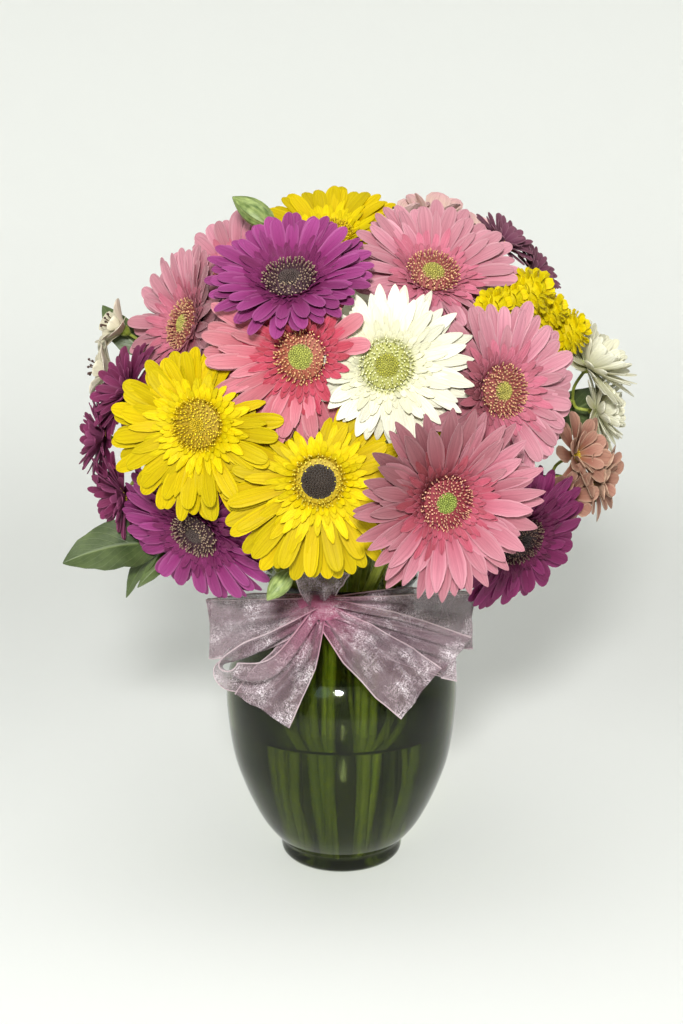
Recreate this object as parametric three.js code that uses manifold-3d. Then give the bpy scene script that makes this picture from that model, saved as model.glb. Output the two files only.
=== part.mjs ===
// Gerberas in a green glass vase, tied with a ribbon.
// Millimetres, +Z up, origin on the ground under the middle of the foot, front towards -Y.

import * as THREE from "three";
import { mergeVertices } from "three/addons/utils/BufferGeometryUtils.js";
import Module from "manifold-3d";

const wasm = await Module();
wasm.setup();

// Vase and water: radius and height of each point of the outline
const VASE_OUTSIDE = [
  [0, 0], [36, 0], [40.5, 5], [40.3, 11], [48, 19], [56, 31], [65.5, 52], [72.7, 76],
  [76.4, 112], [73, 133], [63, 149], [49, 162], [43.5, 172], [44.5, 182], [50, 191],
];
const VASE_INSIDE = [
  [48, 192], [41.2, 182], [40.2, 172], [46, 161], [60, 146.5], [69.8, 132],
  [73.2, 112], [69.5, 77], [62.3, 53.5], [52.8, 33], [42, 18], [33, 7], [0, 7],
];
const VASE_SIDES = 24;
const WATER_LEVEL = 95;
const WATER_FLOOR = 7.3;

// Clearances between pieces
const GAP = 0.3;
const GROWTH = 0.4;

// Points lie on a fine grid. Cuts and joins leave tiny edges and needle triangles, which are tidied
// below these sizes.
const STEPS_PER_MM = 256;
const SHORT_EDGE = 0.08;
const THIN_TRIANGLE = 0.02;

// Gerbera head, measured along the axis it faces
const HUB_TOP = 1;
const HUB_UNDERSIDE = -2.1;
const PETAL_ROOT = 16;
const PETAL_THICKNESS = 1.4;
const PETAL_WIDTH = 6.2;
const PETAL_CURL = 12;
const PETAL_SHARES = [0.8, 0.2];
const UPPER_LIFT = -0.3;
const LOWER_LIFT = -1.3;
const LOWER_TOP = -1.2;
const DISC_RADIUS = 13;
const DISC_HEIGHT = 5;
const DISC_SIDES = 10;
const CALYX_RADIUS = 11;
const CALYX_DEPTH = 14;

// Stems
const STEM_RADIUS = 3.1;
const STEM_SIDES = 5;
const NECK_HEIGHT = 186;
const STEM_FOOT = 9;
const THIN_STEM_RADIUS = 1.7;

// Ribbon: each piece is a row of points with half its width there and the way its width lies
const RIBBON_THICKNESS = 1.2;
const KNOT = [-14, -55, 184];
const RIBBON_BAND = [[46.9, 167], [44.3, 172], [45.3, 182], [46.9, 182], [45.9, 172], [48.5, 167]];
const RIBBON_PIECES = [
  { name: "left upper loop", line: [KNOT, [-50, -64, 177], [-81, -55, 171], [-50, -52, 177],
    KNOT], halves: [7, 16, 19, 16, 7],
    across: [0.05, 0, 1] },
  { name: "right upper loop", line: [KNOT, [40, -60, 180], [81, -48, 174], [40, -49, 180],
    KNOT], halves: [7, 15, 18, 15, 7],
    across: [-0.05, 0, 1] },
  { name: "left lower loop", line: [KNOT, [-48, -73, 168], [-79, -80, 151], [-56, -80, 147],
    KNOT], halves: [6, 12, 14, 14, 6],
    across: [0.45, -0.8, 0.2] },
  { name: "right lower loop", line: [KNOT, [28, -70, 173], [70, -68, 157], [30, -61, 166],
    KNOT], halves: [6, 15, 16, 12, 6],
    across: [0.3, -0.25, 0.9] },
  { name: "left tail", line: [KNOT, [-28, -72, 158], [-40, -78, 141], [-48, -80, 127]],
    halves: [5, 14, 18, 19.5], across: [0.86, -0.25, -0.42] },
  { name: "right tail", line: [KNOT, [10, -70, 166], [32, -78, 150], [48, -80, 138]],
    halves: [5, 15, 19, 19.5], across: [0.5, 0.1, 0.86] },
  { name: "fan above the knot", line: [KNOT, [-13, -62, 197], [-12, -64, 212]],
    halves: [6, 13, 19], across: [1, 0.1, 0] },
];

// Leafy stems: a main stem up to a fork, branches from there, and leaves at points of a branch
const GREENERY = [
  { name: "left", neck: [-90, 33], foot: [-116, 29], fork: [-56, -14, 224], branches: [
    { by: [-96, -30, 258], to: [-120, -46, 292] },
    { by: [-92, -14, 290], to: [-118, -20, 336] },
    { by: [-82, -38, 226], to: [-106, -58, 226] },
    { by: [-70, -16, 330], to: [-40, -44, 414] },
  ], leaves: [
    { branch: 3, point: 3, tip: [-66, -38, 434], half: 6, up: [-0.3, -0.8, 0.5], thick: 6 },
    { branch: 2, point: 3, tip: [-166, -72, 217], half: 17, up: [0.1, -0.75, 0.66] },
    { branch: 2, point: 3, tip: [-131, -62, 193], half: 8, up: [-0.7, -0.6, 0.3] },
    { branch: 2, point: 2, tip: [-122, -72, 202], half: 7, up: [-0.4, -0.8, 0.2] },
    { branch: 1, point: 3, tip: [-148, -12, 366], half: 9, up: [-0.5, -0.6, 0.5] },
    { branch: 1, point: 2, tip: [-140, 22, 300], half: 15, up: [-0.8, 0.2, 0.5] },
    { branch: 0, point: 1, tip: [-136, 4, 236], half: 15, up: [-0.5, 0.1, 0.9] },
  ] },
  { name: "right", neck: [86, 33], foot: [82, 31], fork: [56, -10, 218], branches: [
    { by: [100, -30, 240], to: [124, -46, 262] },
    { by: [104, -14, 280], to: [140, -22, 306] },
    { by: [84, -30, 300], to: [105, -72, 371] },
    { by: [80, -8, 310], to: [95, -34, 374] },
  ], leaves: [
    { branch: 0, point: 2, tip: [164, -12, 244], half: 12, up: [0.3, -0.6, 0.7] },
    { branch: 1, point: 2, tip: [172, 10, 312], half: 10, up: [0.4, -0.7, 0.5] },
    { branch: 1, point: 1, tip: [144, 34, 236], half: 16, up: [0.4, 0.1, 0.9] },
    { branch: 1, point: 2, tip: [128, 2, 346], half: 12, up: [0.8, 0.5, 0.3] },
    { branch: 0, point: 1, tip: [112, -50, 204], half: 13, up: [0.5, -0.3, 0.8] },
  ] },
  { name: "back", neck: [178, 34], foot: [158, 29], fork: [0, 56, 224], branches: [
    { by: [0, 84, 240], to: [-4, 98, 280] },
    { by: [20, 76, 236], to: [40, 86, 226] },
    { by: [-20, 76, 236], to: [-50, 80, 222] },
    { by: [28, 38, 320], to: [50, -6, 380] },
  ], leaves: [
    { branch: 0, point: 1, tip: [6, 124, 206], half: 15, up: [0, 0.4, 0.9] },
    { branch: 2, point: 2, tip: [-60, 112, 204], half: 16, up: [-0.2, 0.3, 0.9] },
    { branch: 1, point: 2, tip: [60, 112, 204], half: 16, up: [0.2, 0.3, 0.9] },
    { branch: 1, point: 3, tip: [104, 72, 214], half: 16, up: [0.4, 0.2, 0.9] },
    { branch: 2, point: 3, tip: [-104, 62, 212], half: 16, up: [-0.4, 0.2, 0.9] },
    { branch: 0, point: 2, tip: [-30, 118, 236], half: 12, up: [0, 0.5, 0.8] },
    { branch: 0, point: 2, tip: [26, 118, 250], half: 12, up: [0, 0.5, 0.8] },
  ] },
  { name: "front", neck: [-21, 35], foot: [-4, 31], fork: [-20, -46, 210], branches: [
    { by: [-24, -72, 224], to: [-29, -104, 220] },
    { by: [-24, -60, 222], to: [-30, -78, 226] },
  ], leaves: [
    { branch: 0, point: 3, tip: [-40, -116, 204], half: 7, up: [-0.4, -0.9, 0.1] },
    { branch: 1, point: 3, tip: [-34, -114, 238], half: 13, up: [0.2, -0.8, 0.4] },
  ] },
];

// Small flowers; each head has its own stalk down to the fork of its spray
const SPRAYS = [
  { name: "daisies_purple_left", color: 0x6b2f5c, on: ["left", 0], heads: [
    { at: [-125, -62, 318], face: [-54, 26], reach: 25, cup: 25, petals: 9, width: 5.5 },
    { at: [-143, -46, 288], face: [-70, 8], reach: 26, cup: 22, petals: 9, width: 5.5 },
    { at: [-130, -60, 256], face: [-58, -14], reach: 25, cup: 25, petals: 9, width: 5.5 },
  ] },
  { name: "alstroemeria_cream_left", color: 0xd8cdb0, on: ["left", 1], heads: [
    { at: [-133, -28, 352], face: [-76, 30], reach: 21, cup: 38, petals: 6, width: 7 },
    { at: [-141, -30, 328], face: [-80, 10], reach: 20, cup: 35, petals: 6, width: 7 },
  ] },
  { name: "mums_white_right", color: 0xdcdcc4, on: ["right", 1], heads: [
    { at: [150, -32, 330], face: [60, 44], reach: 29, cup: 38, petals: 10, width: 6 },
    { at: [158, -24, 302], face: [70, 8], reach: 25, cup: 30, petals: 9, width: 6 },
  ] },
  { name: "alstroemeria_peach_right", color: 0xb98a7e, on: ["right", 0], heads: [
    { at: [139, -60, 280], face: [48, 14], reach: 23, cup: 25, petals: 6, width: 8 },
    { at: [154, -44, 263], face: [64, -4], reach: 23, cup: 28, petals: 6, width: 7 },
    { at: [131, -64, 254], face: [44, -16], reach: 20, cup: 25, petals: 6, width: 7 },
  ] },
  { name: "asters_mauve_right", color: 0x8d6b80, on: ["right", 3], heads: [
    { at: [93, -49, 403], face: [54, 46], reach: 22, cup: 24, petals: 9, width: 5 },
    { at: [114, -38, 386], face: [66, 34], reach: 21, cup: 24, petals: 9, width: 5 },
  ] },
  { name: "alstroemeria_top", color: 0xc9b49c, on: ["back", 3], heads: [
    { at: [34, -34, 410], face: [10, 76], reach: 21, cup: 55, petals: 5, width: 6 },
    { at: [54, -24, 412], face: [26, 73], reach: 20, cup: 52, petals: 5, width: 6 },
    { at: [77, -25, 402], face: [56, 60], reach: 20, cup: 50, petals: 5, width: 6 },
  ] },
  { name: "daisies_white_back", color: 0xcfd0c8, on: ["back", 0], heads: [
    { at: [-6, 116, 322], face: [-178, 15], reach: 25, cup: 18, petals: 9, width: 6 },
    { at: [-4, 112, 244], face: [178, -10], reach: 25, cup: 18, petals: 9, width: 6 },
  ] },
];
const SMALL_THICKNESS = 1.1;
const SMALL_ROOT = 3;
const STALK_RADIUS = 1.2;

// Balls of the button mums: middle and radius
const POMPONS = [
  [[84, -100, 368], 12], [[95, -88, 372], 10], [[106, -77, 376], 15], [[120, -62, 365], 12],
  [[133, -49, 352], 15],
];
const POMPON_SIDES = 8;

// Directions are given as degrees round from the front (to the right) and degrees above level.
// at: middle of the head; face: the way it looks; neck: where its stem passes the neck.
const GERBERAS = [
  { name: "magenta_top", at: [-28, -106, 383], face: [-8, 48], reach: 47, cup: 22, petals: 10,
    neck: [-40, 12], bunch: 0, ray: 0xa84f80, disc: 0x7a5d5b },
  { name: "pink_front_right", at: [55, -144, 268], face: [18, -4], reach: 55, cup: 20, petals: 10,
    neck: [26, 34], bunch: 1, ray: 0xcf7585, disc: 0xa4883f },
  { name: "coral_front_left", at: [-21, -128, 344], face: [-15, -2], reach: 50, cup: 10, petals: 10,
    neck: [-17, 21], bunch: 0, ray: 0xd48791, disc: 0xb08b50 },
  { name: "pink_right", at: [87, -116, 324], face: [28, 6], reach: 50, cup: 10, petals: 10,
    neck: [52, 25], bunch: 1, ray: 0xd0838f, disc: 0xae8461 },
  { name: "white_middle", at: [24, -128, 339], face: [2, 7], reach: 44, cup: 6, petals: 10,
    neck: [16, 23], bunch: 1, ray: 0xf4f3da, disc: 0xb9b46a },
  { name: "yellow_left", at: [-77, -126, 307], face: [-18, 3], reach: 53, cup: 8, petals: 10,
    neck: [-36, 34], bunch: 0, ray: 0xe6d008, disc: 0xceb109 },
  { name: "pink_left", at: [-90, -64, 357], face: [-56, 16], reach: 52, cup: 20, petals: 10,
    neck: [-64, 23], bunch: 2, ray: 0xc98590, disc: 0xa88a55 },
  { name: "yellow_brown_eye", at: [-12, -136, 278], face: [-4, 1], reach: 51, cup: 9, petals: 10,
    neck: [-7, 35], bunch: 0, ray: 0xe0c810, disc: 0x483e2d },
  { name: "pink_top_right", at: [51, -84, 386], face: [12, 42], reach: 50, cup: 20, petals: 10,
    neck: [44, 12], bunch: 1, ray: 0xcf8896, disc: 0xb98569 },
  { name: "magenta_low_left", at: [-83, -96, 241], face: [-28, -26], reach: 50, cup: 8, petals: 10,
    neck: [-62, 34], bunch: 2, ray: 0x96407a, disc: 0x4a3540 },
  { name: "magenta_low_right", at: [104, -84, 234], face: [34, -20], reach: 48, cup: 6, petals: 9,
    neck: [62, 35], bunch: 3, ray: 0x693051, disc: 0x3c2733 },
  { name: "yellow_top", at: [-8, -34, 407], face: [-8, 58], reach: 46, cup: 22, petals: 9,
    neck: [-110, 8], bunch: 2, ray: 0xe3cc0e, disc: 0xc9ab0a },
  { name: "pink_behind_left", at: [-66, -28, 386], face: [-40, 42], reach: 48, cup: 20, petals: 8,
    neck: [-88, 14], bunch: 2, ray: 0xc98590, disc: 0xa88a55 },
  { name: "magenta_back_right", at: [114, 34, 300], face: [112, 6], reach: 44, cup: 8, petals: 8,
    neck: [112, 33], bunch: 3, ray: 0xa84f80, disc: 0x7a5d5b },
  { name: "pink_back_right", at: [74, 40, 382], face: [127, 45], reach: 45, cup: 11, petals: 8,
    neck: [126, 16], bunch: 3, ray: 0xcf8896, disc: 0xb98569 },
  { name: "yellow_back", at: [46, 98, 284], face: [158, 0], reach: 46, cup: 6, petals: 8,
    neck: [150, 33], bunch: 3, ray: 0xe0c810, disc: 0x483e2d },
  { name: "white_back", at: [-10, 78, 374], face: [-172, 38], reach: 44, cup: 7, petals: 8,
    neck: [-172, 15], bunch: 4, ray: 0xf4f3da, disc: 0xb9b46a },
  { name: "coral_back", at: [-58, 94, 278], face: [-151, -2], reach: 46, cup: 8, petals: 8,
    neck: [-158, 33], bunch: 4, ray: 0xd48791, disc: 0xb08b50 },
  { name: "magenta_back_left", at: [-98, 46, 338], face: [-120, 24], reach: 45, cup: 8, petals: 8,
    neck: [-124, 27], bunch: 4, ray: 0x96407a, disc: 0x4a3540 },
];

// Where the stems of each bunch come together on the floor of the vase
const BUNCH_FOOT = [[-20, 19], [27, 20], [-82, 21], [100, 20], [-152, 21]];
const BUNCH_NAMES = ["front_left", "front_right", "left", "right", "back"];
const BUNCH_SPREAD = 0.17;

const part = new THREE.Group();
part.name = "gerberas_in_a_vase";

// Everything already in its place, a little grown, so that what comes later stays clear of it
const placed = [];

function radians(degrees) {
  return (degrees * Math.PI) / 180;
}

function direction([round, above]) {
  const level = Math.cos(radians(above));
  return new THREE.Vector3(
    Math.sin(radians(round)) * level,
    -Math.cos(radians(round)) * level,
    Math.sin(radians(above)),
  );
}

function onRing([round, radius], height) {
  return new THREE.Vector3(
    Math.sin(radians(round)) * radius,
    -Math.cos(radians(round)) * radius,
    height,
  );
}

function vector(values) {
  return new THREE.Vector3(...values);
}

let seed = 20260;
function random() {
  seed = (seed * 1664525 + 1013904223) % 4294967296;
  return seed / 4294967296;
}

function spread(amount) {
  return (random() * 2 - 1) * amount;
}

// Solids from points and triangles, or from a three.js geometry
function solid(points, faces) {
  const flat = new Float32Array(points.flatMap((point) => point.toArray()));
  return new wasm.Manifold(
    new wasm.Mesh({ numProp: 3, vertProperties: flat, triVerts: new Uint32Array(faces.flat()) }),
  );
}

function solidOf(geometry) {
  geometry.deleteAttribute("normal");
  geometry.deleteAttribute("uv");
  const merged = mergeVertices(geometry, 1e-4);
  return new wasm.Manifold(
    new wasm.Mesh({
      numProp: 3,
      vertProperties: merged.attributes.position.array,
      triVerts: new Uint32Array(merged.index.array),
    }),
  );
}

function turned(outline, sides) {
  const points = outline.map(([radius, height]) => new THREE.Vector2(radius, height));
  const geometry = new THREE.LatheGeometry(points, sides);
  geometry.rotateX(Math.PI / 2);
  const made = solidOf(geometry);
  return made.volume() < 0 ? solidOf(new THREE.LatheGeometry([...points].reverse(), sides)
    .rotateX(Math.PI / 2)) : made;
}

function fused(solids) {
  return wasm.Manifold.union(solids);
}

function largest(made) {
  const bodies = made.decompose();
  return bodies.reduce((best, body) => (body.volume() > best.volume() ? body : best));
}

function boxesMeet(a, b) {
  return [0, 1, 2].every((axis) => a.min[axis] < b.max[axis] && b.min[axis] < a.max[axis]);
}

function keepClear(made, owner) {
  placed.push({ made, owner, box: made.boundingBox() });
}

function hits(made, owner) {
  const box = made.boundingBox();
  return placed.some(
    (other) =>
      (other.owner === null || other.owner !== owner) &&
      boxesMeet(box, other.box) &&
      !made.intersect(other.made).isEmpty(),
  );
}

function trimmed(made, owner) {
  const box = made.boundingBox();
  const inTheWay = placed.filter(
    (other) => (other.owner === null || other.owner !== owner) && boxesMeet(box, other.box),
  );
  return inTheWay.length ? largest(made.subtract(fused(inTheWay.map((other) => other.made)))) : made;
}

// Draws the ends of a short edge together, unless that would fold or pinch the surface
function closeEdge(points, faces, kept, gone) {
  const around = (corner) => new Set(faces.filter((face) => face.includes(corner)).flat());
  const [nearKept, nearGone] = [around(kept), around(gone)];
  const shared = [...nearKept].filter((corner) => nearGone.has(corner));
  if (shared.length !== 4) return null;
  for (const face of faces) {
    if (face.includes(gone) && !face.includes(kept)) {
      const before = facing(points, face);
      const after = facing(points, face.map((corner) => (corner === gone ? kept : corner)));
      if (before.dot(after) <= 0) return null;
    }
  }
  return faces
    .filter((face) => !(face.includes(kept) && face.includes(gone)))
    .map((face) => face.map((corner) => (corner === gone ? kept : corner)));
}

function facing(points, [a, b, c]) {
  const side = points[b].clone().sub(points[a]);
  return side.cross(points[c].clone().sub(points[a]));
}

// Turns the long edge of a needle triangle so that it joins the two far corners instead
function turnEdge(points, faces, face) {
  const lengths = face.map((corner, index) => points[corner].distanceTo(points[face[(index + 1) % 3]]));
  const longest = lengths.indexOf(Math.max(...lengths));
  if (facing(points, face).length() / lengths[longest] > THIN_TRIANGLE) return null;
  const [a, b, c] = [0, 1, 2].map((step) => face[(longest + step) % 3]);
  const other = faces.find((one) => one !== face && one.includes(a) && one.includes(b));
  const d = other.find((corner) => corner !== a && corner !== b);
  if (faces.some((one) => one.includes(c) && one.includes(d))) return null;
  const turned = [[a, d, c], [d, b, c]];
  if (turned.some((one) => facing(points, one).dot(facing(points, other)) <= 0)) return null;
  return [...faces.filter((one) => one !== face && one !== other), ...turned];
}

function closedUp(made) {
  const mesh = made.getMesh();
  const points = [];
  for (let index = 0; index < mesh.vertProperties.length; index += mesh.numProp) {
    const point = new THREE.Vector3().fromArray(mesh.vertProperties, index);
    points.push(point.multiplyScalar(STEPS_PER_MM).round().divideScalar(STEPS_PER_MM));
  }
  let faces = [];
  for (let index = 0; index < mesh.triVerts.length; index += 3) {
    faces.push([...mesh.triVerts.subarray(index, index + 3)]);
  }
  const tidyOnce = () => {
    for (const face of faces) {
      for (let side = 0; side < 3; side += 1) {
        const [a, b] = [face[side], face[(side + 1) % 3]];
        if (points[a].distanceTo(points[b]) < SHORT_EDGE) {
          const closed = closeEdge(points, faces, a, b) ?? closeEdge(points, faces, b, a);
          if (closed) return closed;
        }
      }
    }
    for (const face of faces) {
      const turned = turnEdge(points, faces, face);
      if (turned) return turned;
    }
    return null;
  };
  for (let round = 0; round < 400; round += 1) {
    const tidied = tidyOnce();
    if (!tidied) break;
    faces = tidied;
  }
  return { points, faces };
}

function addNode(name, made, color, roughness) {
  const { points, faces } = closedUp(made);
  const geometry = new THREE.BufferGeometry().setFromPoints(points);
  geometry.setIndex(faces.flat());
  const flat = geometry.toNonIndexed();
  flat.computeVertexNormals();
  const material = new THREE.MeshStandardMaterial({ color, roughness, metalness: 0 });
  const node = new THREE.Mesh(flat, material);
  node.name = name;
  part.add(node);
}

// A blade with a raised rib along a line of points, pointed at its end
function blade(line, halves, thicknesses, side, growth = 0) {
  const points = [];
  const faces = [];
  const last = line.length - 1;
  line.forEach((point, index) => {
    const before = line[Math.max(index - 1, 0)];
    const after = line[Math.min(index + 1, last)];
    const along = after.clone().sub(before).normalize();
    const up = along.clone().cross(side).normalize();
    if (index === last) {
      points.push(point.clone().addScaledVector(along, growth * 2));
      return;
    }
    const middle = point.clone().addScaledVector(along, index === 0 ? -growth : 0);
    const half = halves[index] + growth;
    const edge = middle.clone().addScaledVector(up, -growth);
    points.push(edge.clone().addScaledVector(side, half));
    points.push(middle.clone().addScaledVector(up, thicknesses[index] + growth));
    points.push(edge.clone().addScaledVector(side, -half));
  });
  for (let index = 0; index < last; index += 1) {
    const [left, top, right] = [index * 3, index * 3 + 1, index * 3 + 2];
    if (index === last - 1) {
      const tip = last * 3;
      faces.push([left, top, tip], [top, right, tip], [right, left, tip]);
    } else {
      faces.push([left, top, top + 3], [left, top + 3, left + 3]);
      faces.push([top, right, right + 3], [top, right + 3, top + 3]);
      faces.push([right, left, left + 3], [right, left + 3, right + 3]);
    }
  }
  faces.push([0, 2, 1]);
  return solid(points, faces);
}

// A many-sided tube along a line of points, with a radius at each
function tube(line, radii, sides) {
  const points = [];
  const faces = [];
  let across = null;
  line.forEach((point, index) => {
    const before = line[Math.max(index - 1, 0)];
    const after = line[Math.min(index + 1, line.length - 1)];
    const along = after.clone().sub(before).normalize();
    if (!across) {
      across = Math.abs(along.z) > 0.9 ? new THREE.Vector3(1, 0, 0) : new THREE.Vector3(0, 0, 1);
    }
    across = across.clone().addScaledVector(along, -across.dot(along)).normalize();
    const other = along.clone().cross(across);
    for (let corner = 0; corner < sides; corner += 1) {
      const angle = (corner / sides) * Math.PI * 2;
      points.push(
        point.clone()
          .addScaledVector(across, Math.cos(angle) * radii[index])
          .addScaledVector(other, Math.sin(angle) * radii[index]),
      );
    }
  });
  for (let ring = 0; ring < line.length - 1; ring += 1) {
    for (let corner = 0; corner < sides; corner += 1) {
      const a = ring * sides + corner;
      const b = ring * sides + ((corner + 1) % sides);
      faces.push([a, b, b + sides], [a, b + sides, a + sides]);
    }
  }
  const end = (line.length - 1) * sides;
  for (let corner = 1; corner < sides - 1; corner += 1) {
    faces.push([0, corner + 1, corner]);
    faces.push([end, end + corner, end + corner + 1]);
  }
  return solid(points, faces);
}

function headFrame(at, facing) {
  const across = new THREE.Vector3(0, 0, 1).cross(facing).normalize();
  const up = facing.clone().cross(across);
  return new THREE.Matrix4().makeBasis(across, up, facing).setPosition(vector(at));
}

function moved(made, frame) {
  return made.transform(frame.elements);
}

// Middle line of one petal in the head's own frame; drop bends it back from the face
function petalLine({ reach, cup, lift, root }, round, drop) {
  const outwards = new THREE.Vector3(Math.cos(radians(round)), Math.sin(radians(round)), 0);
  const length = reach - root;
  const slopes = [cup - 62 * drop, cup - PETAL_CURL - 110 * drop];
  const line = [outwards.clone().multiplyScalar(root).setZ(lift)];
  PETAL_SHARES.forEach((share, index) => {
    const next = line[index].clone();
    next.addScaledVector(outwards, Math.cos(radians(slopes[index])) * length * share);
    next.z += Math.sin(radians(slopes[index])) * length * share;
    line.push(next);
  });
  return line;
}

function across(round) {
  return new THREE.Vector3(-Math.sin(radians(round)), Math.cos(radians(round)), 0);
}

function petalBlade(shape, line, round, growth) {
  const half = shape.root * Math.sin(Math.PI / shape.petals);
  const halves = [half, shape.width, 0];
  return blade(line, halves, [shape.thickness, shape.thickness, 0], across(round), growth);
}

// Bends a petal back, and shortens it where that is not enough, until it is clear of the rest
function clearPetal(shape, round, frame, owner) {
  for (const share of [1, 0.8, 0.6, 0.4, 0.2]) {
    const reach = shape.root + (shape.reach - shape.root) * share;
    for (let drop = 0; drop < 1.4; drop += 0.1) {
      const line = petalLine({ ...shape, reach }, round, drop);
      if (!hits(moved(petalBlade(shape, line, round, 0), frame), owner)) {
        return { round, line, width: shape.width * Math.min(1, share * 1.2) };
      }
    }
  }
  const reach = shape.root + 2;
  return { round, line: petalLine({ ...shape, reach }, round, 0.5), width: shape.width * 0.4 };
}

// A ring of petals that share their notches, closed over the middle
function whorl(shape, turn, frame, owner) {
  const found = [];
  for (let index = 0; index < shape.petals; index += 1) {
    const own = { ...shape };
    own.reach *= 1 + spread(0.06);
    own.cup += spread(4);
    const round = ((index + turn) / shape.petals) * 360 + spread(shape.jitter);
    found.push(clearPetal(own, round, frame, owner));
  }
  found.forEach(({ line, round }) => {
    keepClear(moved(petalBlade(shape, line, round, GROWTH), frame), owner);
  });
  const points = [new THREE.Vector3(0, 0, shape.top), new THREE.Vector3(0, 0, shape.bottom)];
  found.forEach(({ line, round, width }, index) => {
    const notch = ((index + turn + 0.5) / shape.petals) * 360;
    const [x, y] = [Math.cos(radians(notch)) * shape.root, Math.sin(radians(notch)) * shape.root];
    const side = across(round);
    const along = line[1].clone().sub(line[0]).normalize();
    const up = along.clone().cross(side).normalize();
    points.push(new THREE.Vector3(x, y, shape.lift));
    points.push(line[1].clone().addScaledVector(up, shape.thickness));
    points.push(line[1].clone().addScaledVector(side, width));
    points.push(line[1].clone().addScaledVector(side, -width));
    points.push(line[2].clone());
    points.push(line[0].clone().setZ(shape.lift + shape.thickness));
  });
  const faces = [];
  for (let index = 0; index < shape.petals; index += 1) {
    const left = 2 + index * 6;
    const right = 2 + ((index + shape.petals - 1) % shape.petals) * 6;
    const [ridge, leftEdge, rightEdge, tip, top] = [1, 2, 3, 4, 5].map((step) => left + step);
    if (shape.flatHub) {
      faces.push([0, top, left], [0, right, top], [top, ridge, left], [top, right, ridge]);
    } else {
      faces.push([0, ridge, left], [0, right, ridge]);
    }
    faces.push([left, ridge, leftEdge], [right, rightEdge, ridge]);
    faces.push([ridge, tip, leftEdge], [ridge, rightEdge, tip], [leftEdge, tip, rightEdge]);
    faces.push([1, left, right], [left, leftEdge, right], [right, leftEdge, rightEdge]);
  }
  return moved(solid(points, faces), frame);
}

// The space that the middle of a head takes up
function hubSpace() {
  const radius = PETAL_ROOT + GROWTH;
  const [bottom, top] = [HUB_UNDERSIDE - GROWTH, HUB_TOP + GROWTH];
  return turned([[0, bottom], [radius, bottom], [radius, top], [0, top]], DISC_SIDES);
}

// The middle of a head: a low dome of raised florets
function floretDome(radius, base, height, sides) {
  const points = [new THREE.Vector3(0, 0, base + height * 0.8)];
  const faces = [];
  const rings = [[0.58, 1], [1, 0.25]];
  rings.forEach(([share, rise], ring) => {
    for (let corner = 0; corner < sides; corner += 1) {
      const angle = (corner / sides) * Math.PI * 2;
      const bump = (corner + ring) % 2 ? 0.9 : -0.3;
      points.push(
        new THREE.Vector3(
          Math.cos(angle) * radius * share,
          Math.sin(angle) * radius * share,
          base + height * rise + bump,
        ),
      );
    }
  });
  const floor = points.length;
  for (let corner = 0; corner < sides; corner += 1) {
    const angle = (corner / sides) * Math.PI * 2;
    points.push(
      new THREE.Vector3(Math.cos(angle) * (radius - 1), Math.sin(angle) * (radius - 1), base),
    );
  }
  for (let corner = 0; corner < sides; corner += 1) {
    const next = (corner + 1) % sides;
    faces.push([0, 1 + corner, 1 + next]);
    for (let ring = 0; ring < rings.length; ring += 1) {
      const a = 1 + ring * sides + corner;
      const b = 1 + ring * sides + next;
      faces.push([a, a + sides, b + sides], [a, b + sides, b]);
    }
    if (corner > 0 && corner < sides - 1) {
      faces.push([floor, floor + corner + 1, floor + corner]);
    }
  }
  return solid(points, faces);
}

// Stem from the underside of a head down through the neck to the floor of the vase
function stemLine(head, facing, neck, foot, reachBack) {
  const start = head.clone().addScaledVector(facing, -CALYX_DEPTH);
  const curve = new THREE.CubicBezierCurve3(
    start,
    start.clone().addScaledVector(facing, -reachBack),
    neck.clone().lerp(start, 0.35).setZ(neck.z + (start.z - neck.z) * 0.45),
    neck,
  );
  return [...curve.getPoints(4), foot];
}

function bunchFoot(bunch, neck) {
  const members = GERBERAS.filter((flower) => flower.bunch === bunch);
  const middle = new THREE.Vector3();
  members.forEach((flower) => {
    middle.addScaledVector(onRing(flower.neck, STEM_FOOT), 1 / members.length);
  });
  const foot = onRing(BUNCH_FOOT[bunch], STEM_FOOT);
  return foot.add(onRing(neck, STEM_FOOT).sub(middle).multiplyScalar(BUNCH_SPREAD)).setZ(STEM_FOOT);
}

// Vase
addNode("vase", turned([...VASE_OUTSIDE, ...VASE_INSIDE], VASE_SIDES), 0x3a4034, 0.1);
const vaseGrown = [...VASE_OUTSIDE, ...VASE_INSIDE].map(([radius, height], index) => [
  radius + (index < VASE_OUTSIDE.length ? GROWTH : -GROWTH) * (radius > 0 ? 1 : 0),
  height + (height > 190 ? GROWTH : 0),
]);
keepClear(turned(vaseGrown, VASE_SIDES), null);

// Ribbon: a band round the neck, a knot, loops and tails
function ribbonPiece({ line, halves, across }, growth) {
  const points = [];
  const faces = [];
  const half = RIBBON_THICKNESS / 2 + growth;
  const path = line.map(vector);
  path.forEach((point, index) => {
    const along = path[Math.min(index + 1, path.length - 1)].clone()
      .sub(path[Math.max(index - 1, 0)]).normalize();
    const wide = vector(across).addScaledVector(along, -vector(across).dot(along)).normalize();
    const through = along.clone().cross(wide);
    [[1, 1], [1, -1], [-1, -1], [-1, 1]].forEach(([a, b]) => {
      points.push(
        point.clone().addScaledVector(wide, a * (halves[index] + growth))
          .addScaledVector(through, b * half),
      );
    });
  });
  for (let ring = 0; ring < path.length - 1; ring += 1) {
    for (let corner = 0; corner < 4; corner += 1) {
      const a = ring * 4 + corner;
      const b = ring * 4 + ((corner + 1) % 4);
      faces.push([a, b + 4, b], [a, a + 4, b + 4]);
    }
  }
  const end = (path.length - 1) * 4;
  faces.push([0, 1, 2], [0, 2, 3], [end, end + 2, end + 1], [end, end + 3, end + 2]);
  return solid(points, faces);
}

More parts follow.
